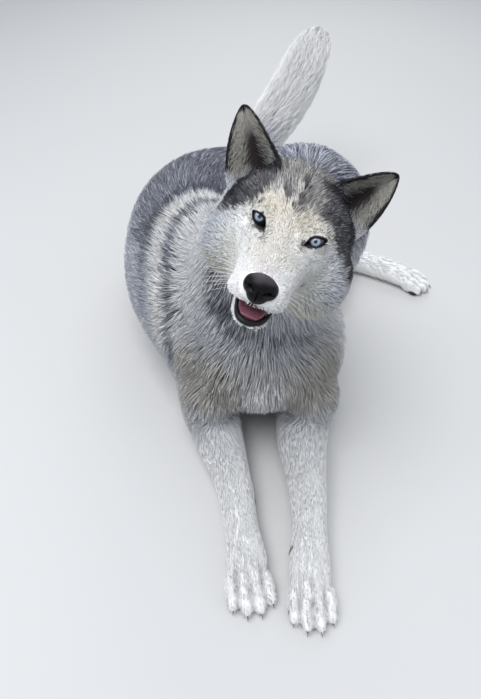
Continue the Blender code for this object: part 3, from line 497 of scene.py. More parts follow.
# %% The head's skin, with its mouth, lids and sockets
def almond(turn):
    """The outline of the slit before its slant: half a width of cos, half a height of sin to the power 1.7.

    The lower half is flatter, and the inner corner lies a little higher than the outer one.
    """
    wide, high = LID_SLIT
    sine = np.sin(turn)
    half = np.where(sine > 0, 0.5, 0.42)
    return np.cos(turn) * wide / 2, (half * signed_power(sine, 1.7) - 0.08 * np.cos(turn)) * high


def slanted(x, z, way=1):
    """(x cos - z sin, x sin + z cos) of the slit's slant, or with way -1 the turn back."""
    cosine, sine = math.cos(LID_SLANT), way * math.sin(LID_SLANT)
    return x * cosine - z * sine, x * sine + z * cosine


def slit(name):
    """The almond between the lids, a long prism along y whose outline turns by the slant of the eye."""
    side, (middle, level) = SIDES[name], SLITS[name]
    y = np.array((-3.0, -0.2, 0.9))[:, None]
    spread = np.array((1.25, 1.0, 0.86))[:, None]
    x, z = (spread * row[None] for row in almond(ring_angles(24)))
    across, above = slanted(x, z)
    return closed(moved(np.stack([middle + side * across, y + 0 * x, level + above], axis=-1), HEAD))


skull_masses = [sections(HEAD_SECTIONS, sides=28)]
for (x, y, z), radii in HEAD_PAIRS:
    skull_masses += [egg((side * x, y, z), radii, HEAD) for side in SIDES.values()]
skull_masses += [egg(centre, radii, HEAD) for centre, radii in CHEEKS]
head = fused("head", skull_masses, FINE_GRAIN, 18)
combined(head, "DIFFERENCE", [sections(MOUTH_SECTIONS, sides=24)])
combined(head, "UNION", [sections(JAW_SECTIONS, HEAD @ Matrix.Translation((0.15, 0, 0)), sides=24)])
for name, centre in EYES.items():
    combined(head, "UNION", [egg(centre, (LID_RADIUS,) * 3, HEAD, 32)])
    combined(head, "DIFFERENCE", [slit(name), egg(centre, (EYE_RADIUS + 0.02,) * 3, HEAD, 32)])
print("head skin:", len(head.data.polygons), "faces")

# %% One skin
skin = combined(body, "UNION", [arrays(head)])
skin.name = "skin"
bpy.data.objects.remove(head)
print("skin:", len(skin.data.polygons), "faces")

# %% [markdown]
# ## Where on the dog is this?
#
# Coat length, the lie of the hair and the markings all depend on the part of the body. Each limb's axis
# is therefore kept as a row of guide points with its direction, its girth and the coat it carries. Any
# place on the skin takes a mean of the guides, in which the nearest ones, measured in girths, count by
# far the most. So the coat changes gradually from limb to limb, with no edge between them.

# %% The guides
# Coat by limb, at its start and its end, in mm: hair length, depth of the skin under the solids, height
# of the tips over the solids, and tuft width
COATS = {
    "head": ((7, 14), (2.0, 6.0), (0.3, 0.8), (0.6, 0.85)),
    "neck": ((34, 62), (8, 16), (6, 10), (1.3, 1.7)),
    "torso": ((48, 42), (13, 11), (4, 2), (1.7, 1.6)),
    "tail": ((55, 60), (12, 8), (20, 24), (1.3, 1.3)),
    "arm": ((34, 22), (8, 5), (2, 1), (1.5, 1.3)),
    "forearm": ((20, 12), (3.4, 2.2), (0.6, 0.4), (1.1, 0.9)),
    "thigh": ((42, 28), (10, 6), (4, 1), (1.6, 1.4)),
    "shank": ((24, 16), (4.5, 3.0), (1.0, 0.6), (1.4, 1.2)),
    "foot": ((15, 10), (2.8, 2.2), (0.6, 0.4), (1.2, 1.0)),
    "paw": ((9, 7), (1.5, 1.3), (0.4, 0.3), (0.9, 0.8)),
}
PARTS = list(COATS)


def guide(part, rows, per_span=4):
    """Rows of place, direction, girth, share along the limb and the number of its part."""
    path = spline(rows, per_span)
    share = np.linspace(0, 1, len(path))
    along = unit(np.gradient(path[:, :3], axis=0))
    girth = path[:, 3:5].mean(1)
    return np.column_stack([path[:, :3], along, girth, share, np.full(len(path), PARTS.index(part))])


head_axis = [(*moved((0.0, y, middle + (up - down) / 2), HEAD), wide * CM, (up + down) / 2 * CM)
             for y, wide, middle, up, down in HEAD_SECTIONS[1:-2]]
guides = [guide("head", head_axis), guide("neck", NECK[1:]), guide("torso", TORSO[2:])]
guides.append(guide("tail", TAIL[1:]))
for name, rows in LEGS.items():
    guides.append(guide(name.split("_")[0], rows))
for knuckles, tip, breadth in PAWS.values():
    middle = (np.array(knuckles) + tip) / 2
    rows = [(*knuckles, breadth / 2, 0.02), (*middle, breadth / 2, 0.02), (*tip, breadth / 2, 0.015)]
    guides.append(guide("paw", rows))
GUIDES = np.vstack(guides)
print("guide points:", len(GUIDES))


def guided(points, sharpness=7, batch=20000):
    """For each point a weight for each guide: 1 / (distance in girths) ^ sharpness, made to sum to 1."""
    weights = np.empty((len(points), len(GUIDES)), np.float32)
    for low in range(0, len(points), batch):
        gap = points[low:low + batch, None] - GUIDES[None, :, :3]
        weights[low:low + batch] = (np.linalg.norm(gap, axis=2) / GUIDES[:, 6]) ** -sharpness
    return weights / weights.sum(1, keepdims=True)


def blended(weights, column):
    """The weighted mean of one pair of the coats table, in metres, each taken at the guide's share."""
    pairs = np.array([coat[column] for coat in COATS.values()])[GUIDES[:, 8].astype(int)]
    values = pairs[:, 0] + (pairs[:, 1] - pairs[:, 0]) * GUIDES[:, 7]
    return weights @ values * 0.001


def part_share(weights, *parts):
    """How much of the weight belongs to these parts, from 0 to 1."""
    numbers = [PARTS.index(part) for part in parts]
    return weights[:, np.isin(GUIDES[:, 8].astype(int), numbers)].sum(1)


def eased(values, low, high):
    """0 below low, 1 above high, and 3t^2 - 2t^3 between them."""
    t = np.clip((values - low) / (high - low), 0, 1)
    return t * t * (3 - 2 * t)


def bell(values, middle, width):
    """1 at the middle, and falling off as a Gauss curve of that width."""
    return np.exp(-(((values - middle) / width) ** 2))


# %% [markdown]
# ## The skin lies inside the coat
#
# The solids show the dog out to its coat, so the skin is drawn in by the depth of the coat at each
# place. On the face the hair is only millimetres deep, on the cheeks it is longer, and on the nose
# bridge and round the eyes it is shortest.


# %% Coat length and depth
def about_eye(points):
    """How far each place is along the slit of the nearer eye, outwards, and over it, in centimetres."""
    x, _, z = in_head(points).T
    side = np.where(x > 0, 1, -1)
    middle = np.where(x > 0, SLITS["left"][0], SLITS["right"][0])
    level = np.where(x > 0, SLITS["left"][1], SLITS["right"][1])
    return slanted((x - middle) * side, z - level, -1)


def beyond_lids(points):
    """Centimetres from the almond between the lids, over, under or past it, and 9 behind the face."""
    wide, high = LID_SLIT
    along, over = about_eye(points)
    share = np.clip(along / (wide / 2), -1, 1)
    middle = over + 0.08 * share * high
    above = np.maximum(np.abs(middle) - np.where(middle > 0, 0.5, 0.42) * (1 - share**2) ** 0.85 * high, 0)
    past = np.abs(along - share * wide / 2)
    return np.where(in_head(points)[:, 1] < 3.0, np.hypot(above, past), 9.0)


def face_coat(points):
    """On the head: hair length and depth in metres, from short at the nose and eyes to long on the cheeks."""
    x, y, z = in_head(points).T
    back = eased(y, -6.0, 9.0)
    cheek = eased(np.abs(x), 4.0, 7.0) * eased(-z, -1.0, 4.5) * eased(y, 0.5, 6.0)
    crown = eased(z, 1.0, 5.0) * eased(y, 2.0, 8.0)
    below = eased(-z, 5.0, 7.5) * eased(y, -2.0, 5.0)
    length = 0.0046 + 0.0074 * back + 0.022 * np.maximum(cheek, below) + 0.010 * crown
    depth = 0.0012 + 0.0016 * back + 0.0060 * np.maximum(cheek, below) + 0.0028 * crown
    near_eye = 1 - eased(beyond_lids(points), 0.1, 1.3)
    return length * (1 - 0.66 * near_eye), depth * (1 - 0.6 * near_eye)


def coat_at(points, weights):
    """Hair length, depth of the skin, height of the coat over the skin, and tuft width over the whole dog.

    Under the jaw the ruff stands off by up to 12 mm more, which closes the throat.
    """
    on_head = part_share(weights, "head")
    face_length, face_depth = face_coat(points)
    length = blended(weights, 0) * (1 - on_head) + face_length * on_head
    depth = blended(weights, 1) * (1 - on_head) + face_depth * on_head
    _, back, up = in_head(points).T
    stands = 0.012 * bell(back, 11.0, 3.5) * eased(-up, 4.0, 8.0) * (1 - eased(-up, 12.0, 17.0))
    height = depth + blended(weights, 2) + 0.25 * face_depth * on_head + stands
    return length, depth, height, blended(weights, 3)


def inside_mouth(points):
    """True within the lower lip's outline and between that lip and the upper one."""
    x, y, z = in_head(points).T
    lip = np.array(LOWER_LIP)
    left, right = lip[5::-1], lip[5:]
    left_x, right_x = np.interp(y, left[:, 1], left[:, 0]), np.interp(y, right[:, 1], right[:, 0])
    lip_z = np.interp(y, left[:, 1], left[:, 2])
    between = (x < left_x + 0.12) & (x > right_x - 0.12)
    return (y > -9.4) & (y < -2.0) & between & (z > lip_z - 0.22) & (z < -4.6)


def ear_axes(name):
    """In head coordinates: the middle of an ear's root, half its chord, root to tip, the way to its back."""
    inner, outer, tip = (np.array(point) for point in EARS[name])
    root, chord = (inner + outer) / 2, (outer - inner) / 2
    return root, chord, tip - root, unit(np.cross(tip - root, chord)) * SIDES[name]


def ear_frame(places, name):
    """Where head places are from an ear's root: across in half chords, up along the ear, and behind it."""
    root, chord, rise, back = ear_axes(name)
    up = unit(rise)
    return (places - root) @ chord / (chord @ chord), (places - root) @ up, (places - root) @ back, up


def opened(points):
    """Sinks the head's skin in front of each ear, so that the cup opens on to it.

    A place's height along the ear is held under a limit, which rises towards the ear's two edges and
    towards the face. Behind the cup nothing moves.
    """
    places = in_head(points)
    for name in SIDES:
        across, height, behind, up = ear_frame(places, name)
        limit = -0.8 + 2.4 * eased(np.abs(across), 0.50, 1.05) + 3.0 * eased(-behind, 0.2, 3.2)
        near = (1 - eased(np.abs(across), 1.0, 1.3)) * (1 - eased(behind, 2.0, 2.6)) * (height > -4)
        places = places - up * (np.maximum(height - limit, 0) * near)[:, None]
    return moved(places, HEAD)


def vertex_normals(obj):
    """The mesh's own normals, one for each vertex."""
    return read(obj.data.vertex_normals, "vector").astype(float)


SKIN_OFF_FLOOR, TUFTS_OFF_FLOOR = 0.0015, 0.0006
# Where the skin is bare it keeps its place but for this much, and round the lids it is bare out to here in cm
BARE_DEPTH, LID_EDGE = 0.0004, 0.25

points, faces = arrays(skin)
points = opened(points)
weights = guided(points)
_, depth, _, _ = coat_at(points, weights)
at_lid = beyond_lids(points) < LID_EDGE
core = np.where(inside_mouth(points) | at_lid, BARE_DEPTH, depth)
inner = points - vertex_normals(skin) * core[:, None]
inner[:, 2] = np.maximum(inner[:, 2], SKIN_OFF_FLOOR)
skin.data.vertices.foreach_set("co", inner.astype(np.float32).ravel())
skin.data.update()
print("skin drawn in by", (core.min() * 1000).round(1), "to", (core.max() * 1000).round(1), "mm")

# %% [markdown]
# ## A map of the skin
#
# Each tuft is given the place of its root on one flat map of the skin, as a furrier would lay out a
# pelt. Blender's own unwrap cuts the pelt where it bends and packs the pieces side by side.

# %% Unwrap the skin
for other in bpy.context.selected_objects:
    other.select_set(False)
skin.select_set(True)
bpy.context.view_layer.objects.active = skin
skin.modifiers.new("triangles", "TRIANGULATE")
applied(skin)
bpy.ops.object.mode_set(mode="EDIT")
bpy.ops.mesh.select_all(action="SELECT")
bpy.ops.uv.smart_project(angle_limit=math.radians(66), island_margin=0.002)
bpy.ops.object.mode_set(mode="OBJECT")
skin.data.uv_layers[0].name = "OFBake"
skin_points, skin_faces = arrays(skin)
skin_normals = vertex_normals(skin)
corner_uv = read(skin.data.uv_layers["OFBake"].uv, "vector", 2).reshape(-1, 3, 2)
print("skin map:", len(skin_faces), "triangles")

# %% [markdown]
# ## The nearest place on the skin
#
# Long hair bends with the body, so each tuft asks again and again where the skin is. Searching all of
# the skin every time would be slow. Instead the space round the dog is cut into small cells, each of
# which remembers its nearest skin vertex: the vertices mark the cells that they are in, and the marks
# then spread outwards one cell at a time, each cell keeping the nearest.


# %% Cells that know their nearest vertex
CELL = 0.007
SPREAD = 9


def marked_cells(points):
    """(lowest corner, cells): for each cell the number of its nearest point, or -1 further out."""
    low = points.min(0) - (SPREAD + 1) * CELL
    cells = np.full(np.ceil((points.max(0) - low) / CELL).astype(int) + SPREAD + 1, -1, np.int32)
    places = np.floor((points - low) / CELL).astype(int)
    cells[tuple(places.T)] = np.arange(len(points))
    gaps = np.full(cells.shape, np.inf, np.float32)
    held = np.argwhere(cells >= 0)
    gaps[tuple(held.T)] = np.linalg.norm(low + (held + 0.5) * CELL - points[cells[cells >= 0]], axis=1)
    for _ in range(SPREAD):
        for axis in range(3):
            for way in (1, -1):
                offered = np.roll(cells, way, axis)
                where = np.argwhere((offered >= 0) & (offered != cells))
                names = offered[tuple(where.T)]
                found = np.linalg.norm(low + (where + 0.5) * CELL - points[names], axis=1)
                nearer = found < gaps[tuple(where.T)]
                spot = tuple(where[nearer].T)
                cells[spot] = names[nearer]
                gaps[spot] = found[nearer]
    return low, cells


cell_low, cell_marks = marked_cells(skin_points)


def nearest(places, otherwise):
    """The nearest skin vertex of each place, or the one given for it where the cells know none."""
    spot = np.clip(((places - cell_low) / CELL).astype(int), 0, np.array(cell_marks.shape) - 1)
    marks = cell_marks[tuple(spot.T)]
    return np.where(marks < 0, otherwise, marks)


print("cells:", cell_marks.shape, "marked:", int((cell_marks >= 0).sum()))

# %% [markdown]
# ## Markings
#
# A husky's grey is not one colour but a mix: pale hairs with a slate or black tip lie among white ones.
# So the markings say three things about each place: the colour of the pale hair, the colour of the dark
# tips, and what share of the hairs has them. Skin and coat both read them. On the face a dark cap comes
# down over the temples round a white mask, with cream brows and two dark streaks up the forehead.
# Some of the colour is painted shade: in the face's hollows, round the eyes, along the lip's fold, under the
# jaw and between the toes.


# %% Colours
def linear(channel):
    """One sRGB channel from 0 to 1 as linear light."""
    return channel / 12.92 if channel <= 0.04045 else ((channel + 0.055) / 1.055) ** 2.4


def colour(code):
    """A hex colour as linear red, green and blue."""
    return np.array([linear(int(code[i:i + 2], 16) / 255) for i in (0, 2, 4)])


WHITE = colour("F6F5F3")
CREAM = colour("E4DCCD")
PALE_GREY = colour("C9CCD4")
BEIGE = colour("BDB9AF")
MID_GREY = colour("8E8E95")
SLATE = colour("575868")
CHARCOAL = colour("35353C")
AGOUTI = colour("666364")
AGOUTI_PALE = colour("B5B2AE")
# Painted shade: a grey olive for the face's hollows, the underside of the jaw, the outer cheeks and the eye
# sockets
SHADE_OLIVE = colour("C9C9BC")
ROSE = colour("B08C86")
BLACK = colour("17161A")
MOST_WHITE = 0.95


def mixed(first, second, share):
    """first (1 - share) + second share, for each point."""
    share = np.asarray(share)[:, None]
    return first * (1 - share) + second * share


def wander(points, size, seed):
    """A smooth random value about 0: the mean of twelve sine waves of about that length, in random ways."""
    rng = np.random.default_rng(seed)
    ways = unit(rng.normal(size=(12, 3))) * (2 * math.pi / size) * rng.uniform(0.6, 1.5, (12, 1))
    return np.sin(points @ ways.T + rng.uniform(0, 6.28, 12)).mean(1) * 2.4


# %% Markings of the head
# Roots of the whiskers: three rows of four on each side of the muzzle
WHISKER_FRONT, WHISKER_TOP = -8.9, -3.55
WHISKER_GAP, WHISKER_ROW_GAP = 0.75, 0.38
WHISKER_ROOTS = [np.array((side * (1.75 + 0.22 * k), WHISKER_FRONT + WHISKER_GAP * k,
                           WHISKER_TOP - WHISKER_ROW_GAP * row))
                 for side in SIDES.values() for row in range(3) for k in range(4)]
# The lower edge of the dark cap: how high it is at each place across the head
CAP_EDGE = np.array([(-9.5, -3.4), (-8.2, -2.1), (-6.5, -1.4), (-4.8, 0.4), (-3.7, 1.7), (-2.9, 3.3),
                     (-1.2, 2.7), (0.0, 2.0), (1.0, 2.4), (3.2, 2.0), (4.3, 1.4), (5.3, 0.3), (7.2, -1.6),
                     (9.3, -3.8)])


def from_line(places, start, end):
    """Distance of each place from the line between two head points."""
    start, way = np.array(start), np.array(end) - start
    share = np.clip((places - start) @ way / (way @ way), 0, 1)
    return np.linalg.norm(places - start - share[:, None] * way, axis=1)


def head_markings(points):
    """Pale colour, dark colour and dark share on the head, from curves in head coordinates."""
    places = in_head(points)
    x, y, z = places.T
    noise = wander(points, 0.022, 3)
    aside = np.abs(x + 0.3)
    edge = np.interp(x, CAP_EDGE[:, 0], CAP_EDGE[:, 1])
    cap = eased(z - edge + 0.22 * noise, -0.45, 0.75) * eased(y, -3.0, 0.5)
    temple = eased(aside, 2.2, 3.8) * (1 - 0.45 * eased(z - edge, 2.0, 5.0))
    share = cap * (0.48 + 0.06 * noise + 0.38 * temple)
    streak_right = bell(x, -0.62 - 0.85 * (z - 2.3), 0.32) * bell(z, 3.0, 0.80)
    streak_left = bell(x, 0.02, 0.17 + 0.20 * eased(z, 4.0, 5.0))
    streak_left = streak_left * eased(z, 1.7, 2.2) * (1 - eased(z, 5.2, 6.0))
    blaze = bell(x, -0.38, 0.22) * eased(z, 2.0, 2.6) * (1 - eased(z, 4.2, 5.0)) * (y < 8)
    share = share + (0.50 * streak_right + 0.50 * streak_left) * (y < 9) - 0.48 * blaze
    bridge = bell(aside, 0, 2.6) * eased(y, -9.5, -5) * eased(z, -3.4, -1.6)
    brow = bell(aside, 2.6, 2.2) * bell(z, 1.7, 1.5) * eased(-y, -5, -2)
    # Painted shade in grey olive: the hollows beside the muzzle, under the jaw, the outer cheeks and round
    # the eyes
    hollow_shade = eased(np.abs(x), 2.4, 3.4) * bell(y, -0.5, 2.6) * eased(-z, 1.5, 3.5)
    under = eased(-z, 5.0, 8.0) * eased(y, -1.0, 3.0)
    cheek = eased(np.abs(x), 4.5, 7.5) * eased(-z, -1.0, 2.0)
    pale = mixed(WHITE, CREAM, np.clip(0.55 * bridge + 0.75 * brow, 0, 1))
    socket = 1 - eased(beyond_lids(points), 0.15, 1.0)
    pale = mixed(pale, SHADE_OLIVE, np.clip(0.55 * hollow_shade + 0.70 * under + 0.35 * cheek + 0.40 * socket, 0, 0.8))
    # The outer cheeks are cool grey, partly their own colour and partly painted shade
    pale = mixed(pale, PALE_GREY, 0.80 * cheek * (1 - under))
    pale = mixed(pale, ROSE, 0.50 * bell(x, -0.35, 0.45) * bell(y, -8.0, 1.4) * (z > -2.9))
    pale = mixed(pale, AGOUTI_PALE, np.clip(0.85 * cap - 0.5 * blaze, 0, 1))
    dark = mixed(AGOUTI, CHARCOAL, np.clip(1.1 * temple + 0.6 * (streak_right + streak_left), 0, 1))
    smudge = 1 - eased(beyond_lids(points), 0.04, 0.13)
    along, over = about_eye(points)
    corner = 0.65 * bell(along, -1.45, 0.35) * bell(over, -0.1, 0.35) * (y < 3)
    base = np.zeros(len(x))
    for name in SIDES:
        across, height, behind, _ = ear_frame(places, name)
        band = bell(behind, -0.15, 0.50) * (1 - eased(np.abs(across), 1.05, 1.35)) * eased(height, -2.6, -1.6)
        base = np.maximum(base, band)
    collar = eased(y, 4.5, 8.0) * eased(aside, 6.0, 7.5) * eased(-z, -4.0, -1.0)
    # Painted shadow line along the fold of the upper lip, from the mouth's corner up the cheek
    lip_fold_shade = bell(from_line(places, (2.7, -2.4, -5.3), (4.2, -0.6, -4.0)), 0, 0.20)
    dots = np.max([bell(np.linalg.norm(places - root, axis=1), 0, 0.16) for root in WHISKER_ROOTS], axis=0)
    share = share + 0.05 * cheek + 0.9 * smudge + corner + base + 0.5 * collar + 0.7 * lip_fold_shade + 0.35 * dots
    return pale, mixed(dark, BLACK, np.clip(smudge + base, 0, 1)), np.clip(share, 0, 0.97)


# %% Markings of the body
# The line below the cheeks and the jaw, from the right side of the neck to the left: dark hair there,
# darkened further by painted shadow of the head
JAW_SHADE = np.array([(-0.068, -0.055, 0.345), (-0.056, -0.078, 0.300), (-0.033, -0.104, 0.264),
                      (0.002, -0.110, 0.257), (0.056, -0.092, 0.240), (0.104, -0.050, 0.212)])
JAW_SHADE_WEIGHTS = (1.0, 1.0, 0.6, 0.5, 0.4)


def body_markings(points, weights):
    """Pale colour, dark colour and dark share on neck, trunk, legs and tail.

    The stripes of ruff and shoulder are rings round the upright line through the neck's root, drawn wider
    on the left side, where the body bends away.
    """
    x, y, z = points.T
    noise = wander(points, 0.05, 5)
    fine = wander(points, 0.016, 6)
    axis = np.array(TORSO)
    from_top = np.degrees(np.arctan2(np.abs(x - np.interp(y, axis[:, 1], axis[:, 0])),
                                     z - np.interp(y, axis[:, 1], axis[:, 2])))
    aside = np.where(x > -0.005, 0.72, 1.0) * (x + 0.005)
    ring = np.hypot(aside, 0.89 * np.maximum(y - 0.03, 0)) - 0.24 * np.maximum(y - 0.05, 0) + 0.002 * noise
    upper = eased(z, 0.12, 0.18)
    stripe = bell(ring, 0.138, 0.0075) * upper
    light = (bell(ring, 0.160, 0.012) + 0.8 * bell(ring, 0.121, 0.008)) * upper * (1 - eased(z, 0.33, 0.38))
    behind = eased(ring, 0.172, 0.182)
    saddle = behind * (1 - eased(from_top + 8 * noise, 42, 64))
    flank = behind * eased(from_top, 42, 60) * (1 - eased(from_top, 80, 118))
    edge = bell(ring, 0.186, 0.009) * upper
    ruff = (1 - eased(ring, 0.106, 0.116)) * eased(z, 0.10, 0.17)
    nape = eased(in_head(points)[:, 2], -2.0, 4.0) * ruff
    # Painted shadow of the head over dark hair, along the line under the jaw
    throat = np.max([weight * bell(from_line(points, start, end), 0, 0.020)
                     for start, end, weight in zip(JAW_SHADE, JAW_SHADE[1:], JAW_SHADE_WEIGHTS)], axis=0)
    throat = throat * (1 + 0.4 * fine)
    front = eased(-y, 0.03, 0.09)
    patchy = 1 - 0.30 * eased(fine, 0.3, 1.0)
    share = 0.04 + (0.04 + 0.14 * front) * ruff + 0.92 * stripe + 0.60 * saddle * patchy + 0.08 * flank
    share = share + 0.30 * edge - 0.60 * light + 0.46 * nape + 0.50 * throat
    belly = eased(from_top, 95, 130) * eased(y, 0.05, 0.12)
    share = share * (1 - 0.9 * belly)
    low_chest = front * (1 - eased(z, 0.18, 0.24)) * eased(z, 0.08, 0.14)
    middle = front * bell(x, 0.004, 0.030) * (1 - eased(z, 0.17, 0.22))
    pale = mixed(PALE_GREY, WHITE, np.clip((0.80 - 0.60 * front) * (ruff - nape) + 1.2 * light + belly, 0, 1))
    pale = mixed(pale, CREAM, np.clip(0.18 * light, 0, 1))
    pale = mixed(pale, BEIGE, np.clip(0.80 * low_chest + 0.15 * front * ruff - 0.8 * middle, 0, 1))
    pale = mixed(pale, WHITE, 0.8 * middle)
    dark = mixed(MID_GREY, SLATE, np.clip(stripe + saddle + edge + nape + throat + 0.35, 0, 1))
    dark = mixed(dark, CHARCOAL, np.clip(0.7 * stripe + 0.20 * saddle + 0.6 * throat + 0.3 * edge, 0, 1))
    fore = part_share(weights, "forearm", "paw", "foot", "shank")
    arm = part_share(weights, "arm") * (1 - eased(z, 0.10, 0.16))
    tail = part_share(weights, "tail") * eased(y, 0.510, 0.575)
    thigh = part_share(weights, "thigh") * eased(from_top, 50, 95)
    pale = mixed(pale, WHITE, np.clip(fore + 0.8 * arm + tail + 0.6 * thigh, 0, 1))
    share = share * (1 - np.clip(fore + 0.85 * arm + 0.80 * tail + 0.75 * thigh, 0, 1))
    # Painted shade, beige and darker, in the lines between the toes
    groove = toe_groove_shade(points)
    return mixed(pale, BEIGE, 0.6 * groove), dark, np.clip(share + 0.30 * groove, 0, 0.96)


def toe_groove_shade(points):
    """1 on the lines between the toes of each paw, where the hair parts and shade is painted, and 0
    elsewhere.
    """
    found = np.zeros(len(points))
    for name in PAWS:
        knuckles, along, across, reach, breadth = paw_axes(name)
        ahead = (points - knuckles) @ along / reach
        aside = (points - knuckles) @ across / breadth / (1 + 0.15 * ahead)
        gap = np.min([np.abs(aside - line) for line in (-0.25, 0.0, 0.25)], axis=0)
        on_toes = eased(ahead, -0.35, 0.15) * (ahead < 1.1) * (np.abs(aside) < 0.5)
        found = np.maximum(found, bell(gap, 0, 0.035) * on_toes)
    return found


def markings(points, weights):
    """The head's and the body's markings, each by the share of the place that belongs to it."""
    on_head = part_share(weights, "head")
    on_head = eased(on_head, 0.25, 0.75)
    heads, bodies = head_markings(points), body_markings(points, weights)
    pale, dark = (mixed(bodies[i], heads[i], on_head) for i in (0, 1))
    return pale, dark, bodies[2] * (1 - on_head) + heads[2] * on_head


# %% Fields over the skin: lie of the coat, coat sizes and markings
# The coat lies along each limb, hangs a little on the trunk, falls down the chest and parts round the eyes
weights = guided(skin_points)
lie = weights @ GUIDES[:, 3:6]
head_ways = np.array(HEAD.to_3x3()) * (1 / CM)
side_way = np.sign(in_head(skin_points)[:, :1]) * head_ways[:, 0]
down_head = -head_ways[:, 2]
on_head = part_share(weights, "head")[:, None]
at_side = eased(np.abs(in_head(skin_points)[:, :1]), 2.0, 6.0)
lie = lie + on_head * (0.30 * side_way + 0.25 * down_head * at_side)
drop = part_share(weights, "torso", "neck", "thigh", "arm")[:, None]
lie = lie + drop * np.array((0.0, 0.0, -0.28))
x, y, z = skin_points.T
front = (part_share(weights, "torso", "arm") + 0.6 * part_share(weights, "neck")) * eased(-y, -0.04, 0.05)
falling = np.column_stack([2.2 * x, np.full(len(x), 0.12), np.full(len(x), -1.0)])
lie = lie * (1 - front[:, None]) + falling * front[:, None]
along, over = about_eye(skin_points)
round_eye = (1 - eased(beyond_lids(skin_points), 0.3, 1.5))[:, None]
across, above = slanted(along, over)
outward = np.column_stack([across * np.sign(in_head(skin_points)[:, 0]), 0 * along, above])
lie = lie * (1 - round_eye) + unit(outward @ np.array(HEAD.to_3x3()).T) * round_eye
skin_lie = unit(lie - skin_normals * (lie * skin_normals).sum(1, keepdims=True))
skin_length, skin_depth, skin_height, skin_width = coat_at(skin_points, weights)
skin_pale, skin_dark, skin_share = markings(skin_points + skin_normals * skin_depth[:, None], weights)
print("hair from", (skin_length.min() * 1000).round(1), "to", (skin_length.max() * 1000).round(1), "mm long")

# %% [markdown]
# ## Finishes
#
# The coat is keratin: each hair is a clear, slightly waxy cylinder, so hair shines softly along a broad
# band and never like paint. Its colour comes from the markings stored on the mesh. Nose leather is wet,
# fine-grained skin, the cornea is a wet film over the iris, and claws are dense horn.


# %% Nodes and materials
def add_node(tree, kind, settings=(), inputs=(), links=()):
    """Adds a node: its settings, values for its inputs, and links as (output socket, input name)."""
    node = tree.nodes.new(kind)
    for name, value in dict(settings).items():
        setattr(node, name, value)
    for name, value in dict(inputs).items():
        node.inputs[name].default_value = value
    for socket, name in links:
        tree.links.new(socket, node.inputs[name])
    return node


def new_material(name, **values):
    """A material with a Principled shader whose sockets take these values."""
    material = bpy.data.materials.new(name)
    material.use_nodes = True
    shader = material.node_tree.nodes["Principled BSDF"]
    for socket, value in values.items():
        socket = socket.replace("_", " ").title().replace("Ior", "IOR")
        shader.inputs[socket].default_value = value
    return material, material.node_tree, shader


def painted(tree, shader):
    """Takes the base colour from the colours stored on the mesh."""
    paint = add_node(tree, "ShaderNodeAttribute", {"attribute_name": "markings"})
    tree.links.new(paint.outputs["Color"], shader.inputs["Base Color"])


def grained(tree, shader, texture, scale, strength, height):
    """Bumps of that height in metres, from a texture in the object's own space."""
    place = add_node(tree, "ShaderNodeTexCoord")
    grain = add_node(tree, texture, inputs=scale, links=[(place.outputs["Object"], "Vector")])
    bump = add_node(tree, "ShaderNodeBump", inputs={"Strength": strength, "Distance": height},
                    links=[(grain.outputs[0], "Height")])
    tree.links.new(bump.outputs["Normal"], shader.inputs["Normal"])
    return bump


# %% Hair and the skin under it
# Guard hair and undercoat: keratin, smooth and slightly waxy, which scatters a soft broad gleam
hair, tree, shader = new_material("husky_hair", Roughness=0.60, IOR=1.50, Specular_IOR_Level=0.20)
painted(tree, shader)

# Skin with the underfur on it: matt, with streaks a few millimetres apart that read as short hair
pelt, tree, shader = new_material("underfur", Roughness=0.85, IOR=1.45, Specular_IOR_Level=0.15)
painted(tree, shader)
grained(tree, shader, "ShaderNodeTexNoise", {"Scale": 420.0, "Detail": 4.0}, 0.5, 0.0012)


def store_colours(obj, colours):
    """Writes one linear colour for each vertex as the attribute that the materials read."""
    layer = obj.data.attributes.new("markings", "FLOAT_COLOR", "POINT")
    rgba = np.column_stack([colours, np.ones(len(colours))]).astype(np.float32)
    layer.data.foreach_set("color", rgba.ravel())


MOUTH_DARK = colour("2E1F20")
LID_DARK = colour("191617")
# How light the underfur is against the hair over it, everywhere and round the lids: painted shade of the coat
# over the skin
SKIN_SHADE, LID_SHADE = 0.88, 0.75

tone = mixed(skin_pale * SKIN_SHADE, skin_dark, skin_share)
tone = tone * (LID_SHADE + (1 - LID_SHADE) * eased(beyond_lids(skin_points), 0.4, 1.6))[:, None]
tone[inside_mouth(skin_points)] = MOUTH_DARK
tone[beyond_lids(skin_points) < 0.03] = LID_DARK
store_colours(skin, tone)
skin.data.materials.clear()
skin.data.materials.append(pelt)
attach(skin, "root")
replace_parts(skin, "head", "lower_jaw", "neck", "torso", "hips", "tail", "foreleg_left", "foreleg_right",
            "hindleg_left", "hindleg_right")

# %% [markdown]
# ## Growing the coat
#
# A tuft is a handful of hairs that hang together: wide at the root, flat, and drawn to a point. It leaves
# the skin at a low angle, lies along the body and follows its curves. Each tuft marches over the skin in
# two or three steps: on along the lie, back down to the nearest vertex, and out again by its height.
# Tufts that start close together lean to a common tip, which gives the locks that a thick coat has.

# %% Roots spread over the skin
corners = skin_points[skin_faces]
face_cross = np.cross(corners[:, 1] - corners[:, 0], corners[:, 2] - corners[:, 0])
face_areas = np.linalg.norm(face_cross, axis=1) / 2
face_centres = corners.mean(1)


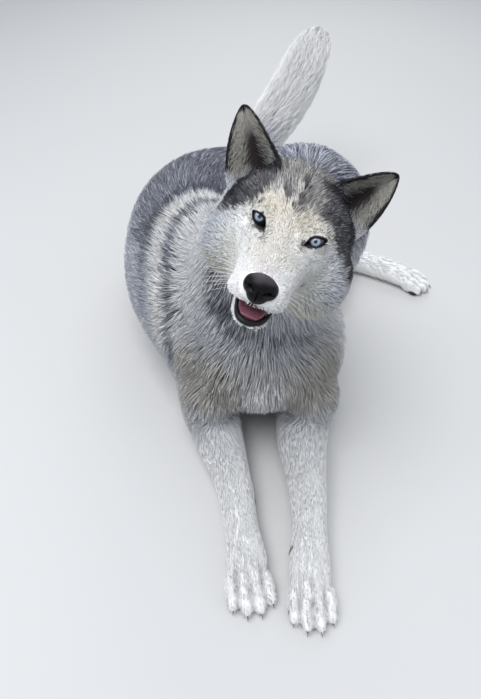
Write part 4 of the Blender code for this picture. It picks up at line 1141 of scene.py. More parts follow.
def scatter(density, rng):
    """Random roots, density of them for each square metre: places, normals, vertex marks and map places."""
    expected = density * face_areas
    count = int(expected.sum())
    picks = rng.choice(len(face_areas), count, p=expected / expected.sum())
    u, v = rng.random((2, count))
    flip = u + v > 1
    u[flip], v[flip] = 1 - u[flip], 1 - v[flip]
    shares = np.stack([1 - u - v, u, v], axis=1)
    places = (corners[picks] * shares[:, :, None]).sum(1)
    uv = (corner_uv[picks] * shares[:, :, None]).sum(1)
    marks = skin_faces[picks, shares.argmax(1)]
    normals = unit((skin_normals[skin_faces[picks]] * shares[:, :, None]).sum(1))
    return places, normals, marks, uv


# %% Tufts as meshes
# For tufts of three and of four stations: the share of the length, the share of the height, and the taper
RISE = {3: ((0.0, 0.45, 1.0), (-0.15, 0.72, 1.0), (1.0, 0.80)),
        4: ((0.0, 0.30, 0.66, 1.0), (-0.15, 0.52, 0.88, 1.0), (1.0, 0.95, 0.62))}
# The side of a tuft's own patch on the flat map, whose whole side is 1
MAP_PATCH = 0.003


def march(places, normals, marks, reach, height, swerve, stations):
    """Walks each tuft over the skin and gives its centre line, its normals and the skin under its outer half.

    A step adds the lie of the coat, turned by the tuft's own swerve, times the step's length. The place
    is then brought back by its height over the nearest vertex's tangent plane, and raised by the rise.
    """
    shares, rises, _ = RISE[stations]
    cosine, sine = np.cos(swerve)[:, None], np.sin(swerve)[:, None]
    lines = np.empty((len(places), stations, 3))
    ups = np.empty_like(lines)
    here, up, mark, seen = places, normals, marks, marks
    for i in range(stations):
        if i:
            ahead = skin_lie[mark]
            ahead = unit(ahead - up * (ahead * up).sum(1, keepdims=True))
            ahead = ahead * cosine + np.cross(up, ahead) * sine
            here = here + ahead * (reach * (shares[i] - shares[i - 1]))[:, None]
            mark = nearest(here, mark)
            up = skin_normals[mark]
            here = here - up * ((here - skin_points[mark]) * up).sum(1, keepdims=True)
        if i == stations - 2:
            seen = mark
        lines[:, i] = here + up * (height * rises[i])[:, None]
        ups[:, i] = up
    return lines, ups, seen


# More cells than the dog has along any side, so that each cell gets a number of its own
CELL_ROW = 4001


def clumps(places, size):
    """The number of each root's clump: roots share one in a cell of space, which a slow wave bends."""
    bent = places + 0.6 * size * np.stack([wander(places, size * 5, 20 + k) for k in range(3)], axis=1)
    cells = np.floor(bent / size).astype(np.int64)
    numbers = (cells[:, 0] * CELL_ROW + cells[:, 1]) * CELL_ROW + cells[:, 2]
    return np.unique(numbers, return_inverse=True)[1]


def clumped(lines, group, pull):
    """Draws each station of the tufts towards the mean line of their clump by that station's pull."""
    counts = np.bincount(group)
    out = lines.copy()
    for i, strength in enumerate(pull):
        means = np.stack([np.bincount(group, lines[:, i, k]) / counts for k in range(3)], axis=1)[group]
        out[:, i] = lines[:, i] * (1 - strength) + means * strength
    return out


def tuft_mesh(name, lines, ups, widths, colours, uv):
    """Rings of three corners along each line, which taper and end in one point, as one closed mesh.

    The corners are centre - across w/2, centre + across w/2 and centre + up 0.4 w.
    """
    count, stations = lines.shape[:2]
    taper = np.array(RISE[stations][2])
    rings = stations - 1
    along = np.gradient(lines, axis=1)
    across = unit(np.cross(ups, along))[:, :rings]
    half = widths[:, None, None] * taper[None, :, None] / 2
    base = lines[:, :rings]
    ridge = base + ups[:, :rings] * half * 0.8
    rows = np.stack([base - across * half, ridge, base + across * half], axis=2)
    points = np.concatenate([rows.reshape(count, rings * 3, 3), lines[:, -1:]], axis=1)
    points[:, :, 2] = np.maximum(points[:, :, 2], TUFTS_OFF_FLOOR)
    pattern = [(0, 1, 2)]
    for ring in range(rings - 1):
        for k in range(3):
            a, b = ring * 3 + k, ring * 3 + (k + 1) % 3
            pattern += [(a, a + 3, b + 3), (a, b + 3, b)]
    tip = rings * 3
    pattern += [(tip - 3 + k, tip, tip - 3 + (k + 1) % 3) for k in range(3)]
    pattern = np.array(pattern)
    each = rings * 3 + 1
    faces = (np.arange(count)[:, None, None] * each + pattern[None]).reshape(-1, 3)
    a, b, c = (points[0][pattern[:, k]] for k in range(3))
    if np.einsum("ij,ij->i", a - points[0, 0], np.cross(b - points[0, 0], c - points[0, 0])).sum() < 0:
        faces = faces[:, ::-1]
    obj = new_mesh(name, points.reshape(-1, 3), faces)
    shade = np.repeat(colours[:, :rings], 3, axis=1)
    store_colours(obj, np.concatenate([shade, colours[:, -1:]], axis=1).reshape(-1, 3))
    patch = np.array([(k / 2, i / stations) for i in range(rings) for k in range(3)] + [(0.5, 1.0)])
    spots = (uv[:, None] + patch[None] * MAP_PATCH - MAP_PATCH / 2).reshape(-1, 2)
    layer = obj.data.uv_layers.new(name="OFBake")
    layer.uv.foreach_set("vector", spots[faces.ravel()].astype(np.float32).ravel())
    obj.data.materials.append(hair)
    return obj


def hair_colours(marks, group, stations, rng, mottle, fade):
    """The colour of each tuft from root to tip: pale, or pale with a dark tip for its share of the tufts.

    Whether a tuft is a dark one is partly its own chance and, by mottle, partly that of its clump.
    """
    pale, dark, share = skin_pale[marks], skin_dark[marks], skin_share[marks]
    chance = (1 - mottle) * rng.random(len(marks)) + mottle * rng.random(group.max() + 1)[group]
    dark_tip = np.clip((share - chance) / 0.55 + 0.5 * (0.3 + 1.4 * share), 0, 1)
    shade = np.clip(rng.normal(1.0, fade, len(marks)), 0.8, 1.15)[:, None]
    solid = eased(share, 0.6, 0.95)
    result = np.empty((len(marks), stations, 3))
    for i, along in enumerate(np.linspace(0, 1, stations)):
        banded = dark_tip * np.maximum(eased(along, 0.1, 0.65), solid)
        # Painted shade: each tuft is darker towards its root, where the coat over it shades it
        tone = mixed(pale * (0.88 + 0.13 * along), dark, banded)
        result[:, i] = tone * shade
    return np.clip(result, 0, MOST_WHITE)


def grow(name, density, slot, stations, rng):
    """One piece of coat: roots by density, tufts by the coat's sizes, and none that hangs into the mouth."""
    spread, clump, pull, mottle, fade = HABITS[slot]
    places, normals, marks, uv = scatter(density, rng)
    reach = skin_length[marks] * rng.uniform(0.75, 1.15, len(marks))
    height = skin_height[marks] * rng.uniform(0.97 - 2.2 * spread, 1.06, len(marks))
    swerve = rng.normal(0, spread, len(marks)) + spread * wander(places, 0.05, 9)
    lines, ups, seen = march(places, normals, marks, reach, height, swerve, stations)
    group = clumps(places, clump)
    lines = clumped(lines, group, np.linspace(0, 1, stations) ** 1.5 * pull)
    clear = ~(inside_mouth(lines[:, -1]) | inside_mouth(lines[:, 1]))
    lines, ups, seen, group, marks, uv = (part[clear] for part in (lines, ups, seen, group, marks, uv))
    widths = skin_width[marks] * rng.uniform(0.8, 1.2, len(marks))
    obj = tuft_mesh(name, lines, ups, widths, hair_colours(seen, group, stations, rng, mottle, fade), uv)
    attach(obj, "root")
    print(f"{name}: {len(marks)} tufts, {len(obj.data.polygons)} triangles")
    return obj


# %% The pieces of the coat
# How each coat behaves: random turn of its tufts, size and pull of its clumps, how far a clump's tufts
# share their darkness, and how unevenly light they are
HABITS = {
    "coat_head": (0.09, 0.006, 0.12, 0.14, 0.045),
    "ruff": (0.15, 0.011, 0.50, 0.22, 0.050),
    "coat_body": (0.15, 0.011, 0.45, 0.24, 0.060),
    "coat_tail": (0.15, 0.009, 0.45, 0.25, 0.060),
    "coat_forelegs": (0.09, 0.007, 0.20, 0.15, 0.030),
    "coat_hindlegs": (0.11, 0.009, 0.30, 0.20, 0.035),
}
# No hair starts this low, in metres, or this close to the slit between the lids, in centimetres
LOWEST_ROOT, NEAREST_ROOT = 0.004, 0.07
face_weights = guided(face_centres)
hx, hy, hz = in_head(face_centres).T
left_side = face_centres[:, 0] > np.interp(face_centres[:, 1], np.array(TORSO)[:, 1], np.array(TORSO)[:, 0])
face_left = hx > 0
bare_nose = (np.hypot(hx / 1.85, (hz + 3.3) / 1.6) < 1.0) & (hy < -9.3)
bare = bare_nose | inside_mouth(face_centres) | (beyond_lids(face_centres) < NEAREST_ROOT)
furry = (~bare) & (face_centres[:, 2] > LOWEST_ROOT)
belongs = {part: part_share(face_weights, part) for part in PARTS}
is_head = belongs["head"] > 0.5
is_crown = is_head & (hy > 2.0) & (hz > -1.0)
is_face = is_head & ~is_crown
is_neck = ~is_head & (belongs["neck"] > 0.5)
is_tail = belongs["tail"] > 0.5
is_foreleg = (belongs["forearm"] + belongs["paw"] > 0.5) & (face_centres[:, 1] < 0.1)
is_hindleg = (belongs["shank"] + belongs["foot"] + belongs["paw"] + belongs["thigh"] > 0.5) & ~is_foreleg
is_trunk = ~(is_head | is_neck | is_tail | is_foreleg | is_hindleg)
# Fewer tufts grow close to the floor, and more on the muzzle, where the hair is finest
under = 1 - 0.7 * eased(0.05 - face_centres[:, 2], 0.0, 0.04)
muzzle = eased(-hy, -3.0, 1.0)
rng = np.random.default_rng(7)
PIECES = (
    ("coat_face_left", is_face & face_left, 460000, "coat_head", 3),
    ("coat_face_right", is_face & ~face_left, 460000, "coat_head", 3),
    ("coat_crown", is_crown, 420000, "coat_head", 3),
    ("coat_ruff_left", is_neck & face_left, 170000, "ruff", 4),
    ("coat_ruff_right", is_neck & ~face_left, 170000, "ruff", 4),
    ("coat_trunk_left", is_trunk & left_side, 78000, "coat_body", 3),
    ("coat_trunk_right", is_trunk & ~left_side, 76000, "coat_body", 3),
    ("coat_tail", is_tail, 210000, "coat_tail", 4),
    ("coat_forelegs", is_foreleg, 160000, "coat_forelegs", 3),
    ("coat_hindlegs", is_hindleg, 56000, "coat_hindlegs", 3),
)
coats = []
for name, where, per_square, slot, stations in PIECES:
    density = per_square * where * furry * (1 + 0.6 * muzzle * is_head) * under
    coats.append(grow(name, density, slot, stations, rng))
print("coat:", sum(len(coat.data.polygons) for coat in coats), "triangles")

# %% [markdown]
# ## Eyes
#
# A husky's blue eye shows a pale iris with fine fibres, a darker ring round it and a small pupil, all
# under a wet, clear dome. So the ball is a fine grid whose pole looks along the gaze, its colours follow
# the angle from that pole, and a clear coat gives the wet gleam. Black lid leather frames the almond.

# %% Eyes
PUPIL, IRIS, EYE_RINGS, EYE_SIDES = 0.17, 0.58, 60, 80
IRIS_PALE, IRIS_BLUE, IRIS_RING = colour("8F9EAC"), colour("66788A"), colour("16202B")
# The sclera is painted dark grey-brown, as shade under the lids
SHADED_SCLERA, PUPIL_BLACK = colour("2A2122"), colour("08090B")

# Cornea over iris and sclera: a wet, smooth film, which gives small sharp reflections
cornea, tree, shader = new_material("wet_cornea", Roughness=0.25, IOR=1.38, Coat_Weight=1.0,
                                    Coat_Roughness=0.03)
painted(tree, shader)


def eye_look(name):
    """The matrix that puts a ball of radius 1 at the eye, with its pole towards the viewer."""
    centre = HEAD @ Vector(EYES[name])
    look = (GAZE_AT - centre).to_track_quat("Z", "Y").to_matrix().to_4x4()
    return Matrix.Translation(centre) @ look @ Matrix.Scale(EYE_RADIUS * CM, 4)


def make_eye(name):
    """A ball of rings of equal polar steps, 4% taller at the cornea by a bell of the polar angle."""
    grid, polar, turn = ball(EYE_RINGS, EYE_SIDES)
    grid = grid * (1 + 0.04 * bell(polar, 0, 0.55))[..., None]
    points, faces = closed(moved(grid, eye_look(name)))
    angle = np.concatenate([np.repeat(polar, EYE_SIDES, axis=1).ravel(), [0.0, math.pi]])
    round_it = np.concatenate([np.repeat(turn, EYE_RINGS, axis=0).ravel(), [0.0, 0.0]])
    fibres = 0.5 + 0.25 * np.sin(round_it * 23 + 2 * np.sin(round_it * 5))
    fibres = fibres + 0.25 * np.sin(round_it * 41 + 1.3)
    out = eased(angle, PUPIL, IRIS)
    tone = mixed(IRIS_PALE, IRIS_BLUE, np.clip(out * 0.9 + 0.35 * (fibres - 0.5), 0, 1))
    tone = mixed(tone, IRIS_RING, eased(angle, IRIS * 0.62, IRIS * 0.88))
    tone = mixed(tone, SHADED_SCLERA, eased(angle, IRIS * 1.02, IRIS * 1.12))
    tone = mixed(PUPIL_BLACK, tone, eased(angle, PUPIL * 0.85, PUPIL * 1.15))
    eye = new_mesh(f"eye_{name}_ball", points, faces)
    store_colours(eye, tone)
    eye.data.materials.append(cornea)
    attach(eye, "root")
    return eye


# Lids, lips and the edges of the mouth: bare black skin, slightly wet
lip_skin, tree, shader = new_material("black_lip_skin", Base_Color=(*colour("161314"), 1.0),
                                      Roughness=0.50, IOR=1.40, Specular_IOR_Level=0.30, Coat_Weight=0.06,
                                      Coat_Roughness=0.20)
grained(tree, shader, "ShaderNodeTexNoise", {"Scale": 900.0, "Detail": 3.0}, 0.35, 0.0004)


def ring_tube(path, radii, sides=10):
    """A closed ring of a round section: path + radius (cos turn sideways + sin turn upwards), joined up."""
    along = unit(np.roll(path, -1, axis=0) - np.roll(path, 1, axis=0))
    outward = unit(path - path.mean(0))
    over = unit(np.cross(along, outward))
    turn = ring_angles(sides)
    grid = path[:, None] + radii[:, None, None] * (np.cos(turn)[None, :, None] * outward[:, None]
                                                   + np.sin(turn)[None, :, None] * over[:, None])
    count = len(path)
    i, j = np.meshgrid(np.arange(count), np.arange(sides), indexing="ij")
    a, b = i * sides + j, i * sides + (j + 1) % sides
    c, d = (i + 1) % count * sides + (j + 1) % sides, (i + 1) % count * sides + j
    faces = np.vstack([np.stack([a, b, c], -1).reshape(-1, 3), np.stack([a, c, d], -1).reshape(-1, 3)])
    return facing_out(grid.reshape(-1, 3), faces)


def lid_rim(name):
    """The almond's outline laid on the lid ball, thickest above and at the inner corner."""
    side, (middle, level), (ball_x, ball_y, ball_z) = SIDES[name], SLITS[name], EYES[name]
    turn = ring_angles(64)
    inner = np.clip(-np.cos(turn), 0, 1) ** 6
    x, z = almond(turn)
    x = x * (1 + 0.08 * inner)
    z = z - 0.05 * inner
    across, above = slanted(x, z)
    across, above = middle + side * across, level + above
    lid = LID_RADIUS - 0.05
    y = ball_y - np.sqrt(np.maximum(lid**2 - (across - ball_x) ** 2 - (above - ball_z) ** 2, 0.02))
    path = moved(np.stack([across, y, above], axis=1), HEAD)
    outer = np.clip(np.cos(turn), 0, 1) ** 4
    return ring_tube(path, (0.085 + 0.050 * np.clip(np.sin(turn), 0, 1) + 0.060 * inner - 0.02 * outer) * CM)


for name in EYES:
    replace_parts(make_eye(name), f"eye_{name}")
lids = new_mesh("lid_rims", *together([lid_rim(name) for name in EYES]))
lids.data.materials.append(lip_skin)
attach(lids, "root")
print("lid rims:", len(lids.data.polygons), "triangles")

# %% [markdown]
# ## Nose, lips and tongue
#
# The nose is thick wet leather with a fine pebble grain, a comma-shaped nostril on each side and a
# groove down its middle. It is melted from four eggs and cut with more eggs, so every edge stays round.
# The lower lip is a soft black roll, and the tongue lies inside it, close to the roll on both sides.

# %% Nose
x, y, z = NOSE_AT
a, b, c = NOSE_RADII
nose_eggs = [egg((x, y - 0.1, z + 0.25), (a * 0.88, b, c * 0.74), HEAD, 32),
             egg((x, y - 0.12, z - 0.50), (a * 0.66, b * 0.95, c * 0.90), HEAD, 32)]
nose_eggs += [egg((side * a * 0.50, y + 0.05, z - 0.05), (a * 0.48, b * 0.92, c * 0.72), HEAD, 28)
              for side in SIDES.values()]
nose = fused("nose_leather", nose_eggs, NOSE_GRAIN, 10)
for side in SIDES.values():
    hole = Matrix.Translation((side * NOSTRIL_AT[0], NOSTRIL_AT[1], NOSTRIL_AT[2]))
    tilted = HEAD @ hole @ Matrix.Rotation(side * NOSTRIL_TILT, 4, "Y")
    combined(nose, "DIFFERENCE", [egg((0, 0, 0), (0.42, 0.62, 0.30), tilted, 24),
                                  egg((side * 0.38, 0.30, -0.16), (0.34, 0.42, 0.10), tilted, 20)])
combined(nose, "DIFFERENCE", [egg((0.0, y - 1.12, z - 0.75), (0.055, 0.22, 0.85), HEAD, 16)])

NOSE_BLACK, NOSE_SHEEN_GREY = colour("040303"), colour("3D363B")


def moved_way(way):
    """A direction in the head's frame as one in the dog's frame."""
    return unit(np.array(HEAD)[:3, :3] @ way)


# Nose leather: wet skin with a pebble grain about 1 mm across, dark brown-black
nose_skin, tree, shader = new_material("wet_nose_leather", Roughness=0.50, IOR=1.40, Specular_IOR_Level=0.22,
                                       Coat_Weight=0.06, Coat_Roughness=0.25)
painted(tree, shader)
pebbles = grained(tree, shader, "ShaderNodeTexVoronoi", {"Scale": 850.0}, 0.60, 0.0003)
pebbles.invert = True
# Painted sheen: the upward faces of the leather are painted a lighter grey, a reflection of the sky on the
# wet top
sheen_on_top = eased(vertex_normals(nose) @ moved_way((0.0, -0.10, 1.0)), 0.55, 0.98)
store_colours(nose, mixed(NOSE_BLACK, NOSE_SHEEN_GREY, sheen_on_top))
nose.data.materials.clear()
nose.data.materials.append(nose_skin)
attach(nose, "root")
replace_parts(nose, "nose")
print("nose:", len(nose.data.polygons), "faces")

# %% Lips and tongue
lip_rows = np.array([(*moved([row[:3]], HEAD)[0], row[3] * CM, row[4] * CM) for row in LOWER_LIP])
lips = new_mesh("lip_roll", *tube(lip_rows, sides=16, caps=5, per_span=6))
lips.data.materials.append(lip_skin)
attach(lips, "root")
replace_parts(lips, "lips")


def tongue_shape():
    """Flat sections with a shallow groove: their upper half sinks by a bell of the place across."""
    points, faces = sections(TONGUE_SECTIONS, Matrix(), sides=48, per_span=8, square=2.4)
    points[:, 2] -= 0.13 * bell(points[:, 0], 0, 0.28) * (points[:, 1] > -7.9)
    return moved(points + (0.12, 0, 0), HEAD), faces


# Tongue: wet muscle with fine papillae, a muted pink
tongue_skin, tree, shader = new_material("wet_tongue", Base_Color=(*colour("824F5D"), 1.0),
                                         Roughness=0.45, IOR=1.40, Subsurface_Weight=0.15, Coat_Weight=0.3,
                                         Coat_Roughness=0.3)
shader.inputs["Subsurface Scale"].default_value = 0.004
grained(tree, shader, "ShaderNodeTexVoronoi", {"Scale": 1100.0}, 0.4, 0.0003)
tongue = new_mesh("tongue_surface", *tongue_shape())
tongue.data.materials.append(tongue_skin)
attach(tongue, "root")
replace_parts(tongue, "tongue")
print("lips and tongue:", len(lips.data.polygons) + len(tongue.data.polygons), "triangles")

# %% [markdown]
# ## Ears
#
# A husky's ear is a thick upright cup, furred on both sides. Its back and rims are dark, and long pale
# hair grows inwards from the rims over a cavity painted dark as its shade. The cup is one formula of two
# numbers, the place across and the share from root to tip, so its hair can be grown on the formula itself.


# %% Ear surface
# The ear's cavity is painted near black as its shade
EAR_GREY, EAR_HOLLOW_SHADE = colour("9A978E"), colour("211A19")
# How light the ear's skin is against its hair: painted shade of the hair over it
EAR_SHADE = 0.7
# On the ear's flat map: its whole girth, the share below its root, and the height of the whole map
EAR_MAP_GIRTH, EAR_MAP_FOOT, EAR_MAP_HEIGHT = 1.1, 0.2, 1.3


def ear_place(name, u, v, rear):
    """root + up v + chord (u narrow + bulge of the outer edge) + back (bow + thickness behind).

    u runs across from the inner edge at -1 to the outer at 1, v from root to tip, and rear is 0 on the
    inside of the cup and 1 on its back.
    """
    root, chord, up, back = ear_axes(name)
    left = np.clip(1 - np.maximum(v, 0), 0, 1)
    narrow = 0.05 + 0.95 * left**0.68
    bow = (1 - u * u) * EAR_DEPTH * narrow**1.3
    thick = EAR_THICKNESS[0] + (EAR_THICKNESS[1] - EAR_THICKNESS[0]) * np.clip(v, 0, 1)
    behind = rear * thick * (0.45 + 0.55 * (1 - u**4))
    spread = u * narrow + np.maximum(u, 0) ** 2 * 0.55 * left * (1 - left)
    place = root + up * v[..., None] + chord * spread[..., None] + back * (bow + behind)[..., None]
    return moved(place, HEAD)


def ear_tone(u, v, rear):
    """Pale colour, dark colour and dark share: black rims, a grey back, and grey round the ear's cavity,
    painted dark as its shade.
    """
    starts = np.where(u < 0, eased(v, -0.20, 0.0), eased(v, 0.0, 0.3))
    edge = np.clip(eased(np.abs(u), 0.78, 0.90) * starts + eased(v, 0.88, 0.96), 0, 1)
    hollow_shade = bell(u, -0.05, 0.50 - 0.12 * np.clip(v, 0, 1)) * eased(v, -0.3, 0.0) * (1 - eased(v, 0.45, 0.85))
    hollow_shade = hollow_shade * (1 - rear)
    share = np.clip(0.10 + edge + 1.15 * hollow_shade, 0, 1) * (1 - rear) + rear * np.clip(0.50 + 0.5 * edge, 0, 1)
    pale = mixed(EAR_GREY, PALE_GREY, 0.7 * (1 - eased(v, -0.05, 0.22)))
    pale = mixed(pale, MID_GREY, 0.45 * rear)
    dark = mixed(mixed(CHARCOAL, BLACK, edge), EAR_HOLLOW_SHADE, np.clip(hollow_shade - edge, 0, 1))
    return pale, dark, np.clip(share, 0, 1)


EAR_ROWS = np.concatenate([np.linspace(-0.16, 0.9, 34), np.linspace(0.92, 1.0, 6)])
EAR_ACROSS = np.sin(np.linspace(-1, 1, 33) * math.pi / 2)


def make_ear(name):
    """One ring for each row: the inside from the inner to the outer edge, then the back the other way."""
    u = np.concatenate([EAR_ACROSS, EAR_ACROSS[::-1]])
    rear = np.repeat([0.0, 1.0], len(EAR_ACROSS))
    u, v = np.meshgrid(u, EAR_ROWS)
    rear = np.broadcast_to(rear, u.shape)
    grid = ear_place(name, u, v, rear)
    points, faces = closed(grid)
    ear = new_mesh(f"ear_{name}_skin", points, faces)
    pale, dark, share = ear_tone(u.ravel(), v.ravel(), rear.ravel())
    tone = mixed(pale * EAR_SHADE, dark, share)
    store_colours(ear, np.vstack([tone, tone[:1], tone[-1:]]))
    along = np.concatenate([np.tile(np.arange(u.shape[1]) / u.shape[1], len(v)), [0.5, 0.5]])
    upward = np.concatenate([(v.ravel() + EAR_MAP_FOOT) / EAR_MAP_HEIGHT, [0.0, 1.0]])
    corner = np.stack([along, upward], axis=1)[faces]
    wraps = (corner[..., 0].max(1) - corner[..., 0].min(1) > 0.6)[:, None]
    corner[..., 0] += wraps & (corner[..., 0] < 0.4)
    corner[..., 0] = corner[..., 0] / EAR_MAP_GIRTH
    layer = ear.data.uv_layers.new(name="OFBake")
    layer.uv.foreach_set("vector", corner.astype(np.float32).ravel())
    ear.data.materials.append(pelt)
    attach(ear, "root")
    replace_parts(ear, f"ear_{name}")
    return ear


ears = {name: make_ear(name) for name in SIDES}
print("ears:", sum(len(ear.data.polygons) for ear in ears.values()), "triangles")


# %% Hair of the ears
def ear_coat(name, kind, count, rng):
    """Tufts grown on the ear's formula: each goes from (u, v) towards the tip, a little to one side.

    kind is back, inside or rim, which sets where the tufts start, how long they are and how they stand.
    """
    rear = np.full(count, 1.0 if kind == "back" else 0.0)
    v = rng.random(count) ** 1.15 * 1.14 - 0.15
    edge = np.where(rng.random(count) < 0.5, -1.0, 1.0)
    if kind == "back":
        u = rng.uniform(-1, 1, count)
        reach, rise, aside, width = rng.uniform(6, 10, count), 1.4, 0.0, 1.0
    elif kind == "rim":
        u = edge * rng.uniform(0.90, 1.0, count)
        reach, rise, aside, width = rng.uniform(4, 6, count), 0.9, 0.0, 0.8
    else:
        u = edge * (0.95 - 0.60 * rng.random(count) ** 1.2)
        reach, rise, aside, width = rng.uniform(6, 13, count), 1.6, -0.20 * edge, 0.7
    _, _, rise_of_ear, back = ear_axes(name)
    up_length = np.linalg.norm(rise_of_ear) * 10
    shares, rises, _ = RISE[3]
    swerve = rng.normal(0, 0.10, count)
    lines, ups = np.empty((count, 3, 3)), np.empty((count, 3, 3))
    for i in range(3):
        du = (aside + swerve) * shares[i]
        here_u, here_v = np.clip(u + du, -1, 1), np.minimum(v + reach / up_length * shares[i], 1.0)
        here = ear_place(name, here_u, here_v, rear)
        sides = [ear_place(name, np.clip(here_u + step, -1, 1), here_v, rear) for step in (-0.01, 0.01)]
        step_v = ear_place(name, here_u, here_v + 0.01, rear) - here
        normal = unit(np.cross(sides[1] - sides[0], step_v))
        facing = np.sign(normal @ moved_way(back)) * np.where(rear > 0.5, 1.0, -1.0)
        normal = normal * facing[:, None]
        lines[:, i] = here + normal * rise * rises[i] * 0.001
        ups[:, i] = normal
    pale, dark, share = ear_tone(u + 0.5 * aside, np.clip(v + 0.6 * reach / up_length, -1, 1), rear)
    chance = rng.random(count)
    amount = np.clip((share - chance) / 0.5 + 0.5 * (0.3 + 1.4 * share), 0, 1)
    shade = rng.normal(1.0, 0.08, count)[:, None]
    tones = [np.clip(mixed(pale, dark, amount * k) * shade, 0, MOST_WHITE) for k in (0.9, 1.0, 1.0)]
    ring_share = np.where(rear > 0.5, 0.75 - 0.25 * u, 0.25 + 0.25 * u)
    uv = np.stack([ring_share / EAR_MAP_GIRTH, (v + EAR_MAP_FOOT) / EAR_MAP_HEIGHT], axis=1)
    return lines, ups, width * rng.uniform(0.8, 1.2, count) * 0.001, np.stack(tones, axis=1), uv


# How many tufts of each kind grow on each ear
EAR_KINDS = (("back", 2600), ("rim", 900), ("inside", 2600))
for name in SIDES:
    grown = [ear_coat(name, kind, count, rng) for kind, count in EAR_KINDS]
    lines, ups, widths, tones, uv = (np.concatenate([part[k] for part in grown]) for k in range(5))
    obj = tuft_mesh(f"coat_ear_{name}", lines, ups, widths, tones, uv)
    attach(obj, "root")
    print(obj.name, len(obj.data.polygons), "triangles")

# %% [markdown]
# ## Claws, pads and whiskers
#
# Claws are horn cones that curve down, pads are thick black skin under each toe, and whiskers are stiff
# single hairs that leave the lip in rows. Claws and whiskers are tubes whose girth falls to the tip, and pads
# are eggs.

# %% Claws and pads
CLAW_LENGTH, CLAW_RADIUS, CLAW_DROP, CLAW_OFF_FLOOR = 0.011, 0.0023, 0.004, 0.0022
TOE_PAD, HEEL_PAD = (0.0120, 0.0080, 0.0062), (0.0140, 0.0185, 0.0070)
# How high over the floor the claws start and the pads' middles lie
CLAW_HIGH, TOE_PAD_HIGH, HEEL_PAD_HIGH = 0.0150, 0.0064, 0.0072
# The two dewclaws of the forelegs: root and direction
DEWCLAWS = (((-0.012, -0.236, 0.036), (0.55, -0.75, -0.35)),
            ((0.045, -0.312, 0.029), (-0.45, -0.85, -0.25)))


def claw(root, direction):
    """A tube that starts at the root, bends down with the square of the way along it, and thins out."""
    share = np.linspace(0, 1, 6)[:, None]
    path = root + unit(np.asarray(direction, float)) * share * CLAW_LENGTH
    path = path - np.array((0, 0, CLAW_DROP)) * share**2
    path[:, 2] = np.maximum(path[:, 2], CLAW_OFF_FLOOR)
    girth = CLAW_RADIUS * (1 - 0.80 * share**1.4)
    return tube(np.hstack([path, girth * 0.75, girth]), sides=10, caps=3, per_span=2)


claws, pads = [], []
for name in PAWS:
    knuckles, along, across, reach, breadth = paw_axes(name)
    for side, length in TOES:
        ahead = along + across * side * FAN
        base = knuckles + along * length * reach * 0.88 + across * side * breadth * 1.04
        claws.append(claw(base * (1, 1, 0) + (0, 0, CLAW_HIGH), ahead + (0, 0, -0.35)))
        under_toe = (knuckles + along * length * reach * 0.66 + across * side * breadth) * (1, 1, 0)
        pads.append(turned_egg(under_toe + (0, 0, TOE_PAD_HIGH), TOE_PAD, math.atan2(ahead[1], ahead[0])))
    heel = knuckles * (1, 1, 0) + along * 0.16 * reach + (0, 0, HEEL_PAD_HIGH)
    pads.append(turned_egg(heel, HEEL_PAD, math.atan2(along[1], along[0])))
claws += [claw(np.array(base), direction) for base, direction in DEWCLAWS]

# Claw: layered horn, smooth and slightly clear, grey-brown to black
horn, tree, shader = new_material("claw_horn", Roughness=0.35, IOR=1.54, Coat_Weight=0.2, Coat_Roughness=0.2)
place = add_node(tree, "ShaderNodeTexCoord")
grain = add_node(tree, "ShaderNodeTexNoise", inputs={"Scale": 260.0, "Detail": 3.0},
                 links=[(place.outputs["Object"], "Vector")])
ramp = add_node(tree, "ShaderNodeValToRGB", links=[(grain.outputs["Fac"], "Fac")])
ramp.color_ramp.elements[0].color = (*colour("4A423C"), 1)
ramp.color_ramp.elements[1].color = (*colour("8C8073"), 1)
tree.links.new(ramp.outputs["Color"], shader.inputs["Base Color"])
# Pad: thick rough skin, dark, with cells about 1.5 mm across
pad_skin, tree, shader = new_material("rough_pad_skin", Base_Color=(*colour("2A2726"), 1.0), Roughness=0.75)
grained(tree, shader, "ShaderNodeTexVoronoi", {"Scale": 650.0}, 0.6, 0.0005)
FOOT_PIECES = (("claws", claws, horn, "coat_forelegs"), ("paw_pads", pads, pad_skin, "coat_forelegs"))
for name, masses, finish, slot in FOOT_PIECES:
    obj = new_mesh(name, *together(masses))
    obj.data.materials.append(finish)
    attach(obj, "root")
print("claws:", len(claws), "pads:", len(pads))

# %% Whiskers
WHISKER_RADIUS = 0.022
rng_whiskers = np.random.default_rng(21)
whiskers = []
for start in WHISKER_ROOTS:
    back, low = (start[1] - WHISKER_FRONT) / WHISKER_GAP, (WHISKER_TOP - start[2]) / WHISKER_ROW_GAP
    long = 3.2 + 0.75 * back + rng_whiskers.uniform(-0.4, 0.4)
    way = unit(np.array((np.sign(start[0]) * (0.85 + 0.1 * low), 0.05 + 0.16 * back, -0.10 - 0.28 * low)))
    share = np.linspace(0, 1, 7)[:, None]
    path = start + way * long * share + np.array((0.0, 0.5, -0.55)) * share**2 * long / 4
    girth = WHISKER_RADIUS * (1 - 0.85 * share)
    whiskers.append(tube(np.hstack([moved(path, HEAD), girth * CM, girth * CM]), sides=5, caps=1, per_span=2))
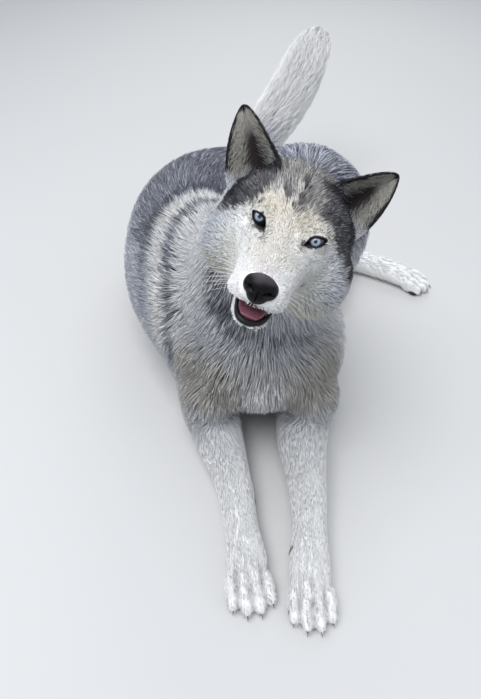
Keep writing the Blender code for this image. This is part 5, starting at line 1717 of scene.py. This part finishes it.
# Whisker: a stiff single hair, white and smooth
whisker_hair, tree, shader = new_material("whisker_hair", Base_Color=(*colour("E8E6E2"), 1.0),
                                          Roughness=0.4, IOR=1.5)
obj = new_mesh("whiskers", *together(whiskers))
obj.data.materials.append(whisker_hair)
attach(obj, "root")
print("whiskers:", len(whiskers))

# %% Camera, light and floor
FOCAL_PIXELS = 535
LONG_SIDE_PIXELS = 699
camera_data = bpy.data.cameras.new("camera")
camera_data.sensor_width = 36.0
camera_data.lens = FOCAL_PIXELS / LONG_SIDE_PIXELS * camera_data.sensor_width
camera = bpy.data.objects.new("camera", camera_data)
camera.location = (-0.03, -0.62, 0.80)
camera.rotation_euler = (math.radians(42), 0, 0)
bpy.context.scene.collection.objects.link(camera)
bpy.context.scene.camera = camera

floor_corners = np.array([(-6, -6, 0), (6, -6, 0), (6, 6, 0), (-6, 6, 0)])
floor = new_mesh("floor", floor_corners, np.array([(0, 1, 2), (0, 2, 3)]))
floor_paint, tree, shader = new_material("matt_floor", Roughness=0.9, Base_Color=(*colour("C6C5C3"), 1.0))
floor.data.materials.append(floor_paint)

# Colours are shown as they are, with no film curve over them, so that white hair stays white
bpy.context.scene.view_settings.view_transform = "Standard"
world = bpy.data.worlds.new("studio")
bpy.context.scene.world = world
world.use_nodes = True
world.node_tree.nodes["Background"].inputs["Color"].default_value = (*colour("E2E9F4"), 1.0)
world.node_tree.nodes["Background"].inputs["Strength"].default_value = 0.70


def softbox(name, place, aim, size, power, tint):
    """A square area light at a place, turned to the point that it aims at."""
    data = bpy.data.lights.new(name, "AREA")
    data.size = size
    data.energy = power
    data.color = tuple(colour(tint))
    light = bpy.data.objects.new(name, data)
    light.location = place
    light.rotation_euler = (Vector(aim) - Vector(place)).to_track_quat("-Z", "Y").to_euler()
    bpy.context.scene.collection.objects.link(light)


softbox("key", (-0.6, -0.6, 2.6), (0.0, -0.1, 0.1), 1.8, 68, "F9FBFF")
softbox("fill", (1.8, -1.2, 1.4), (0.0, -0.2, 0.15), 1.8, 5, "F4F7FF")
softbox("back", (0.3, 2.2, 1.8), (0.0, 0.2, 0.2), 1.6, 18, "FFFFFF")

# %% Hand over
bpy.context.view_layer.update()
